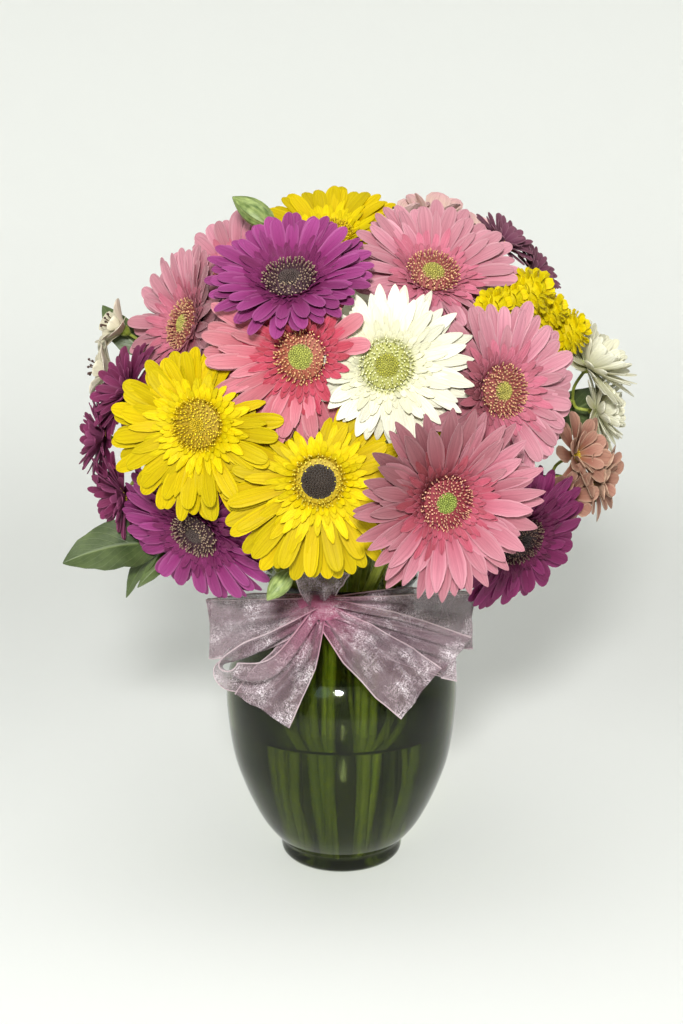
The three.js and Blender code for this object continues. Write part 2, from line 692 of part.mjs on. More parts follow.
function knot(growth) {
  const line = [[-27, -48, 183], [-22, -53, 184], [-10, -55, 185], [0, -53, 184], [4, -49, 183]];
  const radii = [4, 9, 10.5, 9, 4].map((radius) => radius + growth);
  return tube(line.map(vector), radii, 6);
}

const band = turned([...RIBBON_BAND, RIBBON_BAND[0]], VASE_SIDES);
const bow = fused([knot(0), ...RIBBON_PIECES.map((piece) => ribbonPiece(piece, 0))]);
addNode("ribbon", largest(fused([band, trimmed(bow, "ribbon")])), 0xa47a8b, 0.4);
keepClear(knot(GROWTH), null);
RIBBON_PIECES.forEach((piece) => keepClear(ribbonPiece(piece, GROWTH), null));

// Stems with the green calyx under each head
const bunches = BUNCH_NAMES.map(() => []);
const stemHoles = [];
GERBERAS.forEach((flower) => {
  const facing = direction(flower.face);
  const head = vector(flower.at);
  const neck = onRing(flower.neck, NECK_HEIGHT);
  const foot = bunchFoot(flower.bunch, flower.neck);
  const line = stemLine(head, facing, neck, foot, 30);
  const calyxTop = head.clone().addScaledVector(facing, HUB_UNDERSIDE - GAP);
  const calyxMiddle = head.clone().addScaledVector(facing, -CALYX_DEPTH * 0.6);
  const full = [calyxTop, calyxMiddle, ...line];
  const radii = [CALYX_RADIUS, CALYX_RADIUS * 0.75, ...line.map(() => STEM_RADIUS)];
  bunches[flower.bunch].push(tube(full, radii, STEM_SIDES));
  const grownRadii = radii.map((radius) => radius + GROWTH);
  const below = foot.clone().setZ(STEM_FOOT - GROWTH);
  stemHoles.push(tube([...full.slice(0, -1), below], grownRadii, STEM_SIDES));
  flower.stem = stemHoles.at(-1);
});
bunches.forEach((stems, index) => {
  addNode(`stems_${BUNCH_NAMES[index]}`, fused(stems), 0x55682f, 0.6);
});
GERBERAS.forEach((flower) => keepClear(flower.stem, null));

// Leaves and small stems
function leaf(start, { tip, half, up, thick = 1.6 }, growth) {
  const along = vector(tip).sub(start);
  const side = vector(up).cross(along).normalize();
  const top = along.clone().cross(side).normalize();
  const arch = along.length() * 0.08;
  const line = [0, 0.3, 0.65, 1].map((share) =>
    start.clone().addScaledVector(along, share)
      .addScaledVector(top, Math.sin(share * Math.PI) * arch));
  return blade(line, [1.6, half, half * 0.8, 0], [1.2, thick, thick, 0], side.negate(), growth);
}

function branchLine(fork, { to, by }) {
  const curve = new THREE.QuadraticBezierCurve3(vector(fork), vector(by), vector(to));
  return curve.getPoints(3);
}

GREENERY.forEach(({ name, neck, foot, fork, branches, leaves }) => {
  const main = [onRing(foot, STEM_FOOT), onRing(neck, NECK_HEIGHT), vector(fork)];
  const make = (growth) => [
    tube(main, main.map(() => THIN_STEM_RADIUS + growth), STEM_SIDES),
    ...branches.map((branch) => {
      const line = branchLine(fork, branch);
      return tube(line, line.map(() => THIN_STEM_RADIUS * 0.8 + growth), 4);
    }),
    ...leaves.map((one) => {
      const start = branchLine(fork, branches[one.branch])[one.point];
      return leaf(start, one, growth * 1.6);
    }),
  ];
  addNode(`greenery_${name}`, fused(make(0)), 0x68714a, 0.6);
  const grown = make(GROWTH);
  grown.forEach((made) => keepClear(made, null));
  const below = [main[0].clone().setZ(STEM_FOOT - GROWTH), main[1], main[2]];
  stemHoles.push(tube(below, below.map(() => THIN_STEM_RADIUS + GROWTH), STEM_SIDES));
});

// Water with a plain hole for each stem
const waterOutline = [
  [0, WATER_FLOOR],
  ...VASE_INSIDE.filter(([radius, height]) => radius > 0 && height < WATER_LEVEL)
    .reverse()
    .map(([radius, height]) => [radius - GROWTH, height + GAP]),
  [71.2, WATER_LEVEL],
  [0, WATER_LEVEL],
];
const water = turned(waterOutline, VASE_SIDES / 2);
addNode("water", largest(water.subtract(fused(stemHoles))), 0x4d5b33, 0.1);

// Heads of the gerberas: a hub and a dome of florets each, then the petals from the top down
GERBERAS.forEach((flower) => {
  flower.frame = headFrame(flower.at, direction(flower.face));
  const dome = floretDome(DISC_RADIUS, HUB_TOP + GAP, DISC_HEIGHT, DISC_SIDES);
  addNode(`gerbera_${flower.name}_disc`, moved(dome, flower.frame), flower.disc, 0.8);
  const grown = floretDome(DISC_RADIUS + GROWTH, HUB_TOP, DISC_HEIGHT + GROWTH, DISC_SIDES);
  keepClear(moved(grown, flower.frame), null);
  keepClear(moved(hubSpace(), flower.frame), flower.name);
});

// Button mums: balls covered with raised petals
function pompon(middle, radius, growth) {
  const points = [];
  const faces = [];
  const angles = [35, 75, 115, 150];
  points.push(new THREE.Vector3(0, 0, radius + growth));
  angles.forEach((down, ring) => {
    for (let corner = 0; corner < POMPON_SIDES; corner += 1) {
      const round = radians(((corner + ring * 0.5) / POMPON_SIDES) * 360);
      const far = radius * (corner % 2 ? 1.06 : 0.86) + growth;
      const level = Math.sin(radians(down)) * far;
      points.push(new THREE.Vector3(
        Math.cos(round) * level, Math.sin(round) * level, Math.cos(radians(down)) * far,
      ));
    }
  });
  points.push(new THREE.Vector3(0, 0, -radius - growth));
  const last = points.length - 1;
  for (let corner = 0; corner < POMPON_SIDES; corner += 1) {
    const next = (corner + 1) % POMPON_SIDES;
    faces.push([0, 1 + corner, 1 + next]);
    for (let ring = 0; ring < angles.length - 1; ring += 1) {
      const a = 1 + ring * POMPON_SIDES + corner;
      const b = 1 + ring * POMPON_SIDES + next;
      faces.push([a, a + POMPON_SIDES, b + POMPON_SIDES], [a, b + POMPON_SIDES, b]);
    }
    const base = 1 + (angles.length - 1) * POMPON_SIDES;
    faces.push([last, base + next, base + corner]);
  }
  return moved(solid(points, faces), headFrame(middle, vector(middle).setZ(60).normalize()));
}

const mums = fused(POMPONS.map(([middle, radius]) => pompon(middle, radius, 0)));
addNode("pompons_yellow_right", trimmed(mums, "pompons"), 0xd9c21a, 0.7);
POMPONS.forEach(([middle, radius]) => keepClear(pompon(middle, radius, GROWTH), "pompons"));

// Petals of the gerberas
GERBERAS.forEach((flower) => {
  const shared = { petals: flower.petals, root: PETAL_ROOT, thickness: PETAL_THICKNESS,
    width: flower.width ?? PETAL_WIDTH, jitter: 2.5 };
  const upper = { ...shared, petals: flower.petals - 2, reach: flower.reach * 0.93,
    cup: flower.cup + 5, lift: UPPER_LIFT, top: HUB_TOP, bottom: HUB_UNDERSIDE * 0.8, flatHub: true };
  const lower = { ...shared, reach: flower.reach, cup: flower.cup - 5, lift: LOWER_LIFT,
    top: LOWER_TOP, bottom: HUB_UNDERSIDE, flatHub: true };
  const rays = fused([
    whorl(upper, 0, flower.frame, flower.name),
    whorl(lower, 0.5, flower.frame, flower.name),
  ]);
  addNode(`gerbera_${flower.name}_rays`, largest(rays), flower.ray, 0.6);
});

function stalk(head, fork, growth) {
  const facing = direction(head.face);
  const top = vector(head.at).addScaledVector(facing, -0.5);
  const bend = top.clone().addScaledVector(facing, -10).lerp(fork, 0.35);
  const line = [top, bend, fork];
  return tube(line, line.map(() => STALK_RADIUS + growth), 4);
}

SPRAYS.forEach(({ name, color, on, heads }) => {
  const [stem, number] = on;
  const { fork: start, branches } = GREENERY.find((one) => one.name === stem);
  const [before, end] = branchLine(start, branches[number]).slice(-2);
  const fork = end.clone().addScaledVector(end.clone().sub(before).normalize(), 4);
  const seat = tube([end, fork], [STALK_RADIUS, STALK_RADIUS], 4);
  const solids = heads.flatMap((head) => {
    const frame = headFrame(head.at, direction(head.face));
    const shape = { ...head, lift: 0, root: SMALL_ROOT, thickness: SMALL_THICKNESS, jitter: 6,
      top: 2.2, bottom: -1.8 };
    return [whorl(shape, 0, frame, name), stalk(head, fork, 0)];
  });
  addNode(name, trimmed(fused([seat, ...solids]), name), color, 0.7);
  heads.forEach((head) => keepClear(stalk(head, fork, GROWTH), name));
});

export default part;
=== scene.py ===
import math

import bpy
import numpy as np
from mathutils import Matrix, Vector
from mathutils.bvhtree import BVHTree


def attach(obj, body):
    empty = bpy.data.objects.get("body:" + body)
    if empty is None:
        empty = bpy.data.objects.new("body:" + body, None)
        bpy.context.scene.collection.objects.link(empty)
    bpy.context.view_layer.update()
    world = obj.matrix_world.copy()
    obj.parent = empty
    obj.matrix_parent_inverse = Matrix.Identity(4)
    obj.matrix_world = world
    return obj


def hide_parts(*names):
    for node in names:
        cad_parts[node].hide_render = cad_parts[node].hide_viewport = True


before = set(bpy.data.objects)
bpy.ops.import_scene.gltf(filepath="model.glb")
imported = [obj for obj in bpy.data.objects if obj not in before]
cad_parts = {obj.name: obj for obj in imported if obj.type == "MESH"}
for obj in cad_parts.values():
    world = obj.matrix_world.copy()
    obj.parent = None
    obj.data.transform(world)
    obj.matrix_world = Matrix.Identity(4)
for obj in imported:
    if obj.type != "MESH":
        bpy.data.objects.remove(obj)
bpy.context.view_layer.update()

# Lengths below are in millimetres and turned into metres when a mesh is made.
MM = 0.001
CREASE = 55   # degrees between faces from which an edge is sharp
GOLDEN_TURN = 2.39996
rng = np.random.default_rng(20260)

# Vase and water: radius and height of each point of the outline
VASE_OUTSIDE = [
    (40.5, 5), (40.3, 11), (48, 19), (56, 31), (65.5, 52), (72.7, 76), (76.4, 112), (73, 133),
    (63, 149), (49, 162), (43.5, 172), (44.5, 182), (50, 191),
]
VASE_INSIDE = [
    (47.6, 191.4), (41.2, 182), (40.2, 172), (46, 161), (60, 146.5), (69.8, 132), (73.2, 112),
    (69.5, 77), (62.3, 53.5), (52.8, 33), (42, 18), (33, 7),
]
VASE_SIDES = 96
WATER_LEVEL = 95

# Gerbera head, measured along the axis it faces
PETAL_ROOT = 11.5
PETAL_CURL = 12
PETAL_HALF = 4.7
# Ray layers: height of the root, added cup, share of the reach, added petals
RAY_LAYERS = [(-1.3, -5, 1.0, 0), (-0.95, -1, 0.97, 0), (-0.5, 3, 0.9, -1)]
# Shorter petals inside them: radius of the root and the tip, added cup, count, half width
INNER_LAYERS = [
    (12.8, 38.5, 8, 20, 3.3), (13.4, 32.0, 12, 24, 2.7), (13.8, 27.0, 18, 28, 2.2), (14.0, 23.0, 28, 30, 1.8),
    (14.0, 20.0, 42, 30, 1.5),
]
DISC_RADIUS = 13
DISC_BASE = 1.0
DISC_SIDES = 20
# Tight buds and open florets for each millimetre of the disc, and how far out the florets stand
BUD_DENSITY, FLORET_DENSITY, FLORET_REACH = 13, 20, 14.2
CALYX_DEPTH = 14

# Stems
STEM_RADIUS = 3.1
THIN_STEM_RADIUS = 1.7
NECK_HEIGHT = 186
STEM_FOOT = 9
BUNCH_FOOT = [(-20, 19), (27, 20), (-82, 21), (100, 20), (-152, 21)]
BUNCH_NAMES = ["front_left", "front_right", "left", "right", "back"]
BUNCH_SPREAD = 0.17
STEM_BOW = 12

# Colours as the eye sees them (sRGB, 0 to 255): root, middle, tip and edge of the ray petals,
# root and tip of the short inner petals, root and tip of the open florets, and the eye
PALETTES = {
    "pink": dict(rays=[(158, 56, 76), (190, 106, 122), (206, 140, 152), (224, 174, 182)],
                 inner=[(160, 50, 72), (190, 88, 106)], ring=[(162, 60, 72), (228, 176, 140)],
                 eye=(158, 172, 76)),
    "soft_pink": dict(rays=[(186, 88, 112), (204, 128, 144), (216, 152, 164), (230, 186, 192)],
                      inner=[(176, 70, 96), (208, 116, 136)], ring=[(172, 92, 86), (226, 186, 132)],
                      eye=(184, 174, 84)),
    "coral": dict(rays=[(182, 66, 82), (206, 106, 120), (218, 138, 148), (232, 178, 182)],
                  inner=[(172, 50, 70), (196, 74, 92)], ring=[(180, 98, 74), (228, 186, 128)],
                  eye=(180, 184, 84)),
    "white": dict(rays=[(220, 220, 168), (244, 242, 212), (248, 246, 224), (252, 250, 234)],
                  inner=[(214, 216, 150), (244, 242, 206)], ring=[(190, 190, 100), (240, 238, 186)],
                  eye=(174, 172, 62)),
    "yellow": dict(rays=[(190, 152, 0), (210, 180, 0), (218, 192, 0), (228, 206, 2)],
                   inner=[(212, 178, 0), (236, 210, 2)], ring=[(190, 156, 2), (238, 210, 20)],
                   eye=(204, 172, 6)),
    "yellow_dark_eye": dict(rays=[(180, 146, 0), (204, 174, 0), (214, 188, 0), (226, 204, 2)],
                            inner=[(208, 176, 0), (234, 208, 2)],
                            ring=[(204, 174, 6), (226, 206, 60)], eye=(56, 42, 30)),
    "magenta": dict(rays=[(92, 24, 64), (138, 44, 104), (162, 70, 132), (190, 114, 164)],
                    inner=[(80, 22, 54), (124, 44, 92)], ring=[(76, 42, 54), (176, 152, 124)],
                    eye=(82, 66, 62)),
    "dark_magenta": dict(rays=[(70, 16, 46), (110, 30, 76), (134, 48, 98), (158, 80, 126)],
                         inner=[(64, 18, 42), (100, 34, 70)], ring=[(60, 34, 40), (128, 100, 84)],
                         eye=(58, 44, 44)),
}

# A gerbera: name, middle of the head, the way it faces (degrees round from the front, and above
# level), reach and cup of its petals, where its stem passes the neck (angle and radius), its bunch,
# its palette and the radius of its closed middle. lop, trim, the painted shade and bend each give an
# angle round the head and an amount: they lengthen one side, shorten it, darken it with painted
# shade and lean it back. half and count are the half width and number of the petals.
def gerbera(name, at, face, reach, cup, neck, bunch, look, eye, **ways):
    return dict(ways, name=name, at=at, face=face, reach=reach, cup=cup, neck=neck, bunch=bunch,
                look=look, eye=eye)


GERBERAS = [
    gerbera("magenta_top", (-28, -106, 383), (-8, 48), 47, 22, (-40, 12), 0, "magenta", 5.5, count=23,
            half=4.1),
    gerbera("pink_front_right", (55, -144, 268), (18, -4), 55, 20, (26, 34), 1, "pink", 5,
            outline="pointed", half=4.7, count=20, shade=(128, 1.5)),
    gerbera("white_middle", (24, -128, 339), (2, 7), 43, 6, (16, 23), 1, "white", 6, outline="pointed",
            half=3.8, count=19, lop=(0, 0.16)),
    gerbera("coral_front_left", (-21, -128, 344), (-15, -2), 50, 15, (-17, 21), 0, "coral", 6,
            lop=(180, 0.19), count=20, bend=(-10, 26)),
    gerbera("yellow_brown_eye", (-12, -136, 278), (-4, 1), 52, 9, (-7, 35), 0, "yellow_dark_eye", 8.6,
            lop=(250, 0.15), count=21, half=4.8, bend=(95, 24)),
    gerbera("pink_right", (87, -116, 324), (28, 6), 50, 10, (52, 25), 1, "soft_pink", 4.5, count=20,
            shade=(185, 1.5)),
    gerbera("pink_left", (-90, -64, 357), (-56, 16), 52, 20, (-64, 23), 2, "soft_pink", 5, count=20,
            shade=(10, 1.2), lop=(250, 0.12)),
    gerbera("yellow_left", (-77, -126, 307), (-18, 3), 52, 8, (-36, 34), 0, "yellow", 4,
            lop=(205, 0.08), trim=(112, 0.2), count=21, half=4.9, bend=(62, 30)),
    gerbera("pink_top_right", (51, -84, 386), (12, 42), 50, 20, (44, 12), 1, "soft_pink", 5.5,
            count=20),
    gerbera("magenta_low_left", (-83, -96, 241), (-28, -26), 50, 8, (-62, 34), 2, "magenta", 5,
            count=20, shade=(80, 1.4)),
    gerbera("magenta_low_right", (104, -84, 234), (34, -20), 48, 6, (62, 35), 3, "dark_magenta", 5,
            count=20, shade=(150, 1.4)),
    gerbera("yellow_top", (-8, -34, 407), (-8, 58), 46, 22, (-110, 8), 2, "yellow", 5),
    gerbera("pink_behind_left", (-66, -28, 386), (-40, 42), 48, 20, (-88, 14), 2, "soft_pink", 5),
    gerbera("magenta_back_right", (114, 34, 300), (112, 6), 44, 8, (112, 33), 3, "magenta", 5),
    gerbera("pink_back_right", (74, 40, 382), (127, 45), 45, 11, (126, 16), 3, "soft_pink", 5),
    gerbera("yellow_back", (46, 98, 284), (158, 0), 46, 6, (150, 33), 3, "yellow_dark_eye", 9),
    gerbera("white_back", (-10, 78, 374), (-172, 38), 44, 7, (-172, 15), 4, "white", 5.5),
    gerbera("coral_back", (-58, 94, 278), (-151, -2), 46, 8, (-158, 33), 4, "coral", 5.5),
    gerbera("magenta_back_left", (-98, 46, 338), (-120, 24), 45, 8, (-124, 27), 4, "dark_magenta", 5),
]

# Leafy stems: a main stem up to a fork, branches from there, and leaves at points of a branch
BUD = "bud"
BUD_SIDES, BUD_RIDGES = 30, 10
GREENERY = {
    "left": dict(neck=(-90, 33), foot=(-116, 29), fork=(-56, -14, 224), branches=[
        [(-96, -30, 258), (-120, -46, 292)], [(-92, -14, 290), (-118, -20, 336)],
        [(-82, -38, 226), (-106, -58, 226)], [(-70, -16, 330), (-40, -44, 414)],
    ], leaves=[
        (3, 3, (-64, -40, 430), 7, BUD), (2, 3, (-166, -72, 217), 17, (0.1, -0.75, 0.66)),
        (2, 3, (-131, -62, 193), 8, (-0.7, -0.6, 0.3)), (2, 2, (-122, -72, 202), 7, (-0.4, -0.8, 0.2)),
        (1, 3, (-148, -12, 366), 9, (-0.5, -0.6, 0.5)), (1, 2, (-140, 22, 300), 15, (-0.8, 0.2, 0.5)),
        (0, 1, (-136, 4, 236), 15, (-0.5, 0.1, 0.9)),
    ]),
    "right": dict(neck=(86, 33), foot=(82, 31), fork=(56, -10, 218), branches=[
        [(100, -30, 240), (124, -46, 262)], [(104, -14, 280), (140, -22, 306)],
        [(84, -30, 300), (105, -72, 371)], [(80, -8, 310), (95, -34, 374)],
    ], leaves=[
        (0, 2, (164, -12, 244), 14, (0.3, -0.6, 0.7)), (1, 2, (172, 10, 312), 13, (0.4, -0.7, 0.5)),
        (1, 1, (144, 34, 236), 16, (0.4, 0.1, 0.9)), (1, 2, (128, 2, 346), 12, (0.8, 0.5, 0.3)),
        (0, 1, (112, -50, 204), 13, (0.5, -0.3, 0.8)),
    ]),
    "back": dict(neck=(178, 34), foot=(158, 29), fork=(0, 56, 224), branches=[
        [(0, 84, 240), (-4, 98, 280)], [(20, 76, 236), (40, 86, 226)],
        [(-20, 76, 236), (-50, 80, 222)], [(28, 38, 320), (50, -6, 380)],
    ], leaves=[
        (0, 1, (6, 124, 206), 15, (0, 0.4, 0.9)), (2, 2, (-60, 112, 204), 16, (-0.2, 0.3, 0.9)),
        (1, 2, (60, 112, 204), 16, (0.2, 0.3, 0.9)), (1, 3, (104, 72, 214), 16, (0.4, 0.2, 0.9)),
        (2, 3, (-104, 62, 212), 16, (-0.4, 0.2, 0.9)), (0, 2, (-30, 118, 236), 12, (0, 0.5, 0.8)),
        (0, 2, (26, 118, 250), 12, (0, 0.5, 0.8)),
    ]),
    "front": dict(neck=(-21, 35), foot=(-4, 31), fork=(-20, -46, 210), branches=[
        [(-24, -72, 224), (-29, -104, 220)], [(-24, -60, 222), (-30, -78, 226)],
    ], leaves=[
        (0, 3, (-42, -116, 206), 5.5, BUD), (1, 3, (-34, -114, 238), 13, (0.2, -0.8, 0.4)),
    ]),
}


def linear(colour):
    """Shader values of a colour: three numbers are sRGB from 0 to 255, four are linear already."""
    if len(colour) == 4:
        return colour
    shares = [c / 255 for c in colour]
    return (*[s / 12.92 if s <= 0.04045 else ((s + 0.055) / 1.055) ** 2.4 for s in shares], 1.0)


def unit(values):
    values = np.asarray(values, float)
    return values / max(np.linalg.norm(values), 1e-9)


def direction(face):
    turn, above = map(math.radians, face)
    return np.array([math.sin(turn) * math.cos(above), -math.cos(turn) * math.cos(above), math.sin(above)])


def on_ring(place, height):
    turn, radius = math.radians(place[0]), place[1]
    return np.array([math.sin(turn) * radius, -math.cos(turn) * radius, height])


def polar(radius, turn, height=0.0):
    return np.array([radius * math.cos(turn), radius * math.sin(turn), height])


def axes_round(z):
    """Three axes as rows: two across z, and z itself."""
    x = unit(np.cross([0, 0, 1], z))
    return np.array([x, np.cross(z, x), z])


def add_object(name, data):
    made = bpy.data.objects.new(name, data)
    bpy.context.scene.collection.objects.link(made)
    return made


class Head:
    """The frame of a flower head: x and y across its face, z the way it looks."""

    def __init__(self, at, face, owner="", lop=(0, 0), trim=(0, 0), shade=(0, 0), bend=(0, 0)):
        self.at = np.array(at, float)
        self.owner, self.lop, self.trim, self.shade, self.bend = owner, lop, trim, shade, bend
        self.axes = axes_round(direction(face))

    def place(self, points):
        return points @ self.axes + self.at


# Surfaces as arrays of points with quads; each point carries marks: along, across, tone, underside
class Form:
    def __init__(self):
        self.points, self.marks, self.faces, self.kinds, self.count = [], [], [], [], 0

    def add(self, points, faces, marks, kind=0):
        """faces is an array of quads, or a list of faces of any size."""
        self.points.append(points)
        self.marks.append(np.broadcast_to(marks, (len(points), 4)))
        if isinstance(faces, np.ndarray):
            self.faces.extend((faces + self.count).tolist())
        else:
            self.faces.extend([corner + self.count for corner in face] for face in faces)
        self.kinds.extend([kind] * len(faces))
        self.count += len(points)

    def tree(self):
        return Obstacle(np.concatenate(self.points), self.faces)

    def make(self, name, materials, nodes, slot):
        points = np.concatenate(self.points) * MM
        mesh = bpy.data.meshes.new(name)
        mesh.from_pydata(points.tolist(), [], self.faces)
        marks = mesh.attributes.new("marks", "FLOAT_COLOR", "POINT")
        marks.data.foreach_set("color", np.concatenate(self.marks).astype(np.float32).ravel())
        for material in materials:
            mesh.materials.append(material)
        mesh.polygons.foreach_set("material_index", np.array(self.kinds, np.int32))
        mesh.polygons.foreach_set("use_smooth", np.ones(len(mesh.polygons), bool))
        mesh.update()
        mesh.set_sharp_from_angle(angle=math.radians(CREASE))
        piece = add_object(name, mesh)
        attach(piece, "root")
        if nodes:
            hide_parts(*nodes)
        return piece


class Obstacle:
    """Something that petals placed later stay clear of."""

    def __init__(self, points, faces, owner=None):
        self.low, self.high = points.min(0), points.max(0)
        self.tree = BVHTree.FromPolygons(points.tolist(), faces)
        self.owner = owner


placed = []


def blocked(points, faces, owner):
    low, high = points.min(0), points.max(0)
    near = [o for o in placed if o.owner != owner and (o.low < high).all() and (low < o.high).all()]
    if not near:
        return False
    tree = BVHTree.FromPolygons(points.tolist(), faces)
    return any(tree.overlap(o.tree) for o in near)


SHEETS = {}


def sheet_faces(rows, cols):
    """Quads of a closed sheet: a top and a bottom grid joined round the rim."""
    if (rows, cols) not in SHEETS:
        top = np.arange(rows * cols).reshape(rows, cols)
        low = top + rows * cols
        faces = []
        for i in range(rows - 1):
            for j in range(cols - 1):
                faces.append([top[i, j], top[i + 1, j], top[i + 1, j + 1], top[i, j + 1]])
                faces.append([low[i, j], low[i, j + 1], low[i + 1, j + 1], low[i + 1, j]])
            faces.append([top[i, 0], low[i, 0], low[i + 1, 0], top[i + 1, 0]])
            faces.append([top[i, -1], top[i + 1, -1], low[i + 1, -1], low[i, -1]])
        for j in range(cols - 1):
            faces.append([top[0, j], top[0, j + 1], low[0, j + 1], low[0, j]])
            faces.append([top[-1, j], low[-1, j], low[-1, j + 1], top[-1, j + 1]])
        SHEETS[rows, cols] = np.array(faces)
    return SHEETS[rows, cols]


def sheet(line, sides, halves, cols, thick, relief, share, tone):
    """A closed sheet along a line. relief(u, t) lifts the surface, in shares of the half width."""
    rows = len(line)
    tangents = np.gradient(line, axis=0)
    tangents /= np.linalg.norm(tangents, axis=1, keepdims=True)
    sides = sides - tangents * (sides * tangents).sum(1, keepdims=True)
    sides /= np.linalg.norm(sides, axis=1, keepdims=True)
    ups = np.cross(tangents, sides)
    u = np.linspace(-1, 1, cols)
    t = np.asarray(share)
    across = halves[:, None] * u[None]
    lift = relief(u[None], t[:, None]) * halves[:, None]
    half_thick = thick * (1 - 0.7 * u ** 2)[None] / 2
    middle = line[:, None] + sides[:, None] * across[..., None]
    top = middle + ups[:, None] * (lift + half_thick)[..., None]
    low = middle + ups[:, None] * (lift - half_thick)[..., None]
    points = np.concatenate([top.reshape(-1, 3), low.reshape(-1, 3)])
    marks = np.empty((2, rows, cols, 4))
    marks[..., 0] = t[:, None]
    marks[..., 1] = u[None] / 2 + 0.5
    marks[..., 2] = tone
    marks[0, ..., 3], marks[1, ..., 3] = 0, 1
    return points, sheet_faces(rows, cols), marks.reshape(-1, 4)


# Half width of a petal along its length
OUTLINES = {
    "rounded": ([0, 0.2, 0.45, 0.68, 0.84, 0.93, 0.975, 1], [0.38, 0.56, 0.86, 1, 0.93, 0.72, 0.47, 0.16]),
    "pointed": ([0, 0.2, 0.45, 0.64, 0.8, 0.91, 0.97, 1], [0.38, 0.58, 0.9, 1, 0.82, 0.5, 0.27, 0.07]),
    "strap": ([0, 0.3, 0.6, 0.85, 1], [0.6, 0.85, 1, 0.75, 0.2]),
    "spoon": ([0, 0.3, 0.6, 0.8, 0.93, 1], [0.3, 0.5, 0.95, 1, 0.7, 0.2]),
}


def petal(shape, turn, drop, draw):
    """One petal in its head's frame. draw holds its own small differences."""
    share, widths = OUTLINES[shape["outline"]]
    t = np.array(share)
    length = (shape["reach"] * draw["long"]) - shape["root"]
    middle = (t[1:] + t[:-1]) / 2
    slope = np.radians(shape["cup"] + draw["cup"] - (shape["curl"] + draw["curl"]) * middle ** 2
                       - drop * (62 + 48 * middle))
    steps = np.diff(t) * length
    x = shape["root"] + np.concatenate([[0], np.cumsum(np.cos(slope) * steps)])
    z = shape["lift"] + np.concatenate([[0], np.cumsum(np.sin(slope) * steps)])
    y = draw["sweep"] * length * t ** 2
    line = np.column_stack([x, y, z])
    roll = math.radians(draw["roll"]) * t
    sides = np.column_stack([0 * t, np.cos(roll), np.sin(roll)])
    channel = shape.get("channel", 0.18) + draw["channel"]
    points, faces, marks = sheet(
        line, sides, np.array(widths) * shape["half"] * draw["wide"], shape["cols"], shape["thick"],
        lambda u, v: channel * (u ** 2 - 0.4) * (1 - 0.5 * v) + 0.045 * np.cos(u * 7.5), t, draw["tone"])
    c, s = math.cos(turn), math.sin(turn)
    return points @ np.array([[c, s, 0], [-s, c, 0], [0, 0, 1]]), faces, marks


def draw_petal(wild=1.0):
    return dict(
        long=1 + rng.uniform(-0.06, 0.04) * wild, cup=rng.uniform(-5, 5) * wild,
        curl=rng.uniform(-10, 12) * wild, sweep=rng.uniform(-0.06, 0.06) * wild,
        roll=rng.uniform(-16, 16) * wild, wide=rng.uniform(0.88, 1.08),
        channel=rng.uniform(-0.08, 0.16) * wild, tone=rng.uniform(0, 1))


def clear_petal(head, shape, turn, draw):
    """Bends a petal back, and shortens it where that is not enough, until it is clear of the rest."""
    lean = 1 + head.lop[1] * math.cos(turn - math.radians(head.lop[0]))
    lean -= head.trim[1] * max(0, math.cos(turn - math.radians(head.trim[0]))) ** 2
    for share in (1, 0.8, 0.6, 0.4):
        own = dict(shape, reach=shape["root"] + (shape["reach"] - shape["root"]) * share * lean)
        for drop in np.arange(0, 1.35, 0.08):
            points, faces, marks = petal(own, turn, drop, draw)
            points = head.place(points)
            if not blocked(points, faces, head.owner):
                return points, faces, marks
    return None


def whorl(form, head, shape, count, start, kind=0, wild=1.0, free=False):
    for index in range(count):
        turn = (index + start) / count * 2 * math.pi + rng.uniform(-0.5, 0.5) * wild / count
        draw = draw_petal(wild)
        # Painted shade: petals on the head's shaded side get a lower tone, so their colour is darker.
        draw["tone"] -= head.shade[1] * max(0, math.cos(turn - math.radians(head.shade[0]))) ** 1.5
        draw["cup"] -= head.bend[1] * max(0, math.cos(turn - math.radians(head.bend[0])))
        if free:
            points, faces, marks = petal(shape, turn, 0, draw)
            found = head.place(points), faces, marks
        else:
            found = clear_petal(head, shape, turn, draw)
        if found:
            form.add(*found, kind)


# Small solids: tubes and buds
def tube(line, radii, sides, tone=0.5):
    line = np.asarray(line, float)
    rows = len(line)
    tangents = np.gradient(line, axis=0)
    tangents /= np.linalg.norm(tangents, axis=1, keepdims=True)
    across = np.array([1.0, 0, 0]) if abs(tangents[0][2]) > 0.9 else np.array([0, 0, 1.0])
    angles = np.arange(sides) / sides * 2 * math.pi
    around = np.abs(np.arange(sides) / sides * 2 - 1)
    points, marks = [], []
    for row in range(rows):
        across = unit(across - tangents[row] * np.dot(across, tangents[row]))
        other = np.cross(tangents[row], across)
        ring = np.cos(angles)[:, None] * across + np.sin(angles)[:, None] * other
        points.append(line[row] + radii[row] * ring)
        marks.append(np.column_stack([np.full(sides, row / (rows - 1)), around,
                                      np.full(sides, tone), np.zeros(sides)]))
    faces = []
    for row in range(rows - 1):
        for corner in range(sides):
            a, b = row * sides + corner, row * sides + (corner + 1) % sides
            faces.append([a, b, b + sides, a + sides])
    faces.append(list(range(sides))[::-1])
    faces.append(list(range((rows - 1) * sides, rows * sides)))
    return np.concatenate(points), faces, np.concatenate(marks)


def curve(points, steps):
    """A smooth line through the points (Catmull-Rom), with the given number of steps in each part."""
    points = np.asarray(points, float)
    padded = np.vstack([2 * points[0] - points[1], points, 2 * points[-1] - points[-2]])
    made = []
    for index in range(len(points) - 1):
        a, b, c, d = padded[index:index + 4]
        for step in range(steps):
            t = step / steps
            made.append(0.5 * (2 * b + (c - a) * t + (2 * a - 5 * b + 4 * c - d) * t ** 2
                               + (3 * b - a - 3 * c + d) * t ** 3))
    made.append(points[-1])
    return np.array(made)


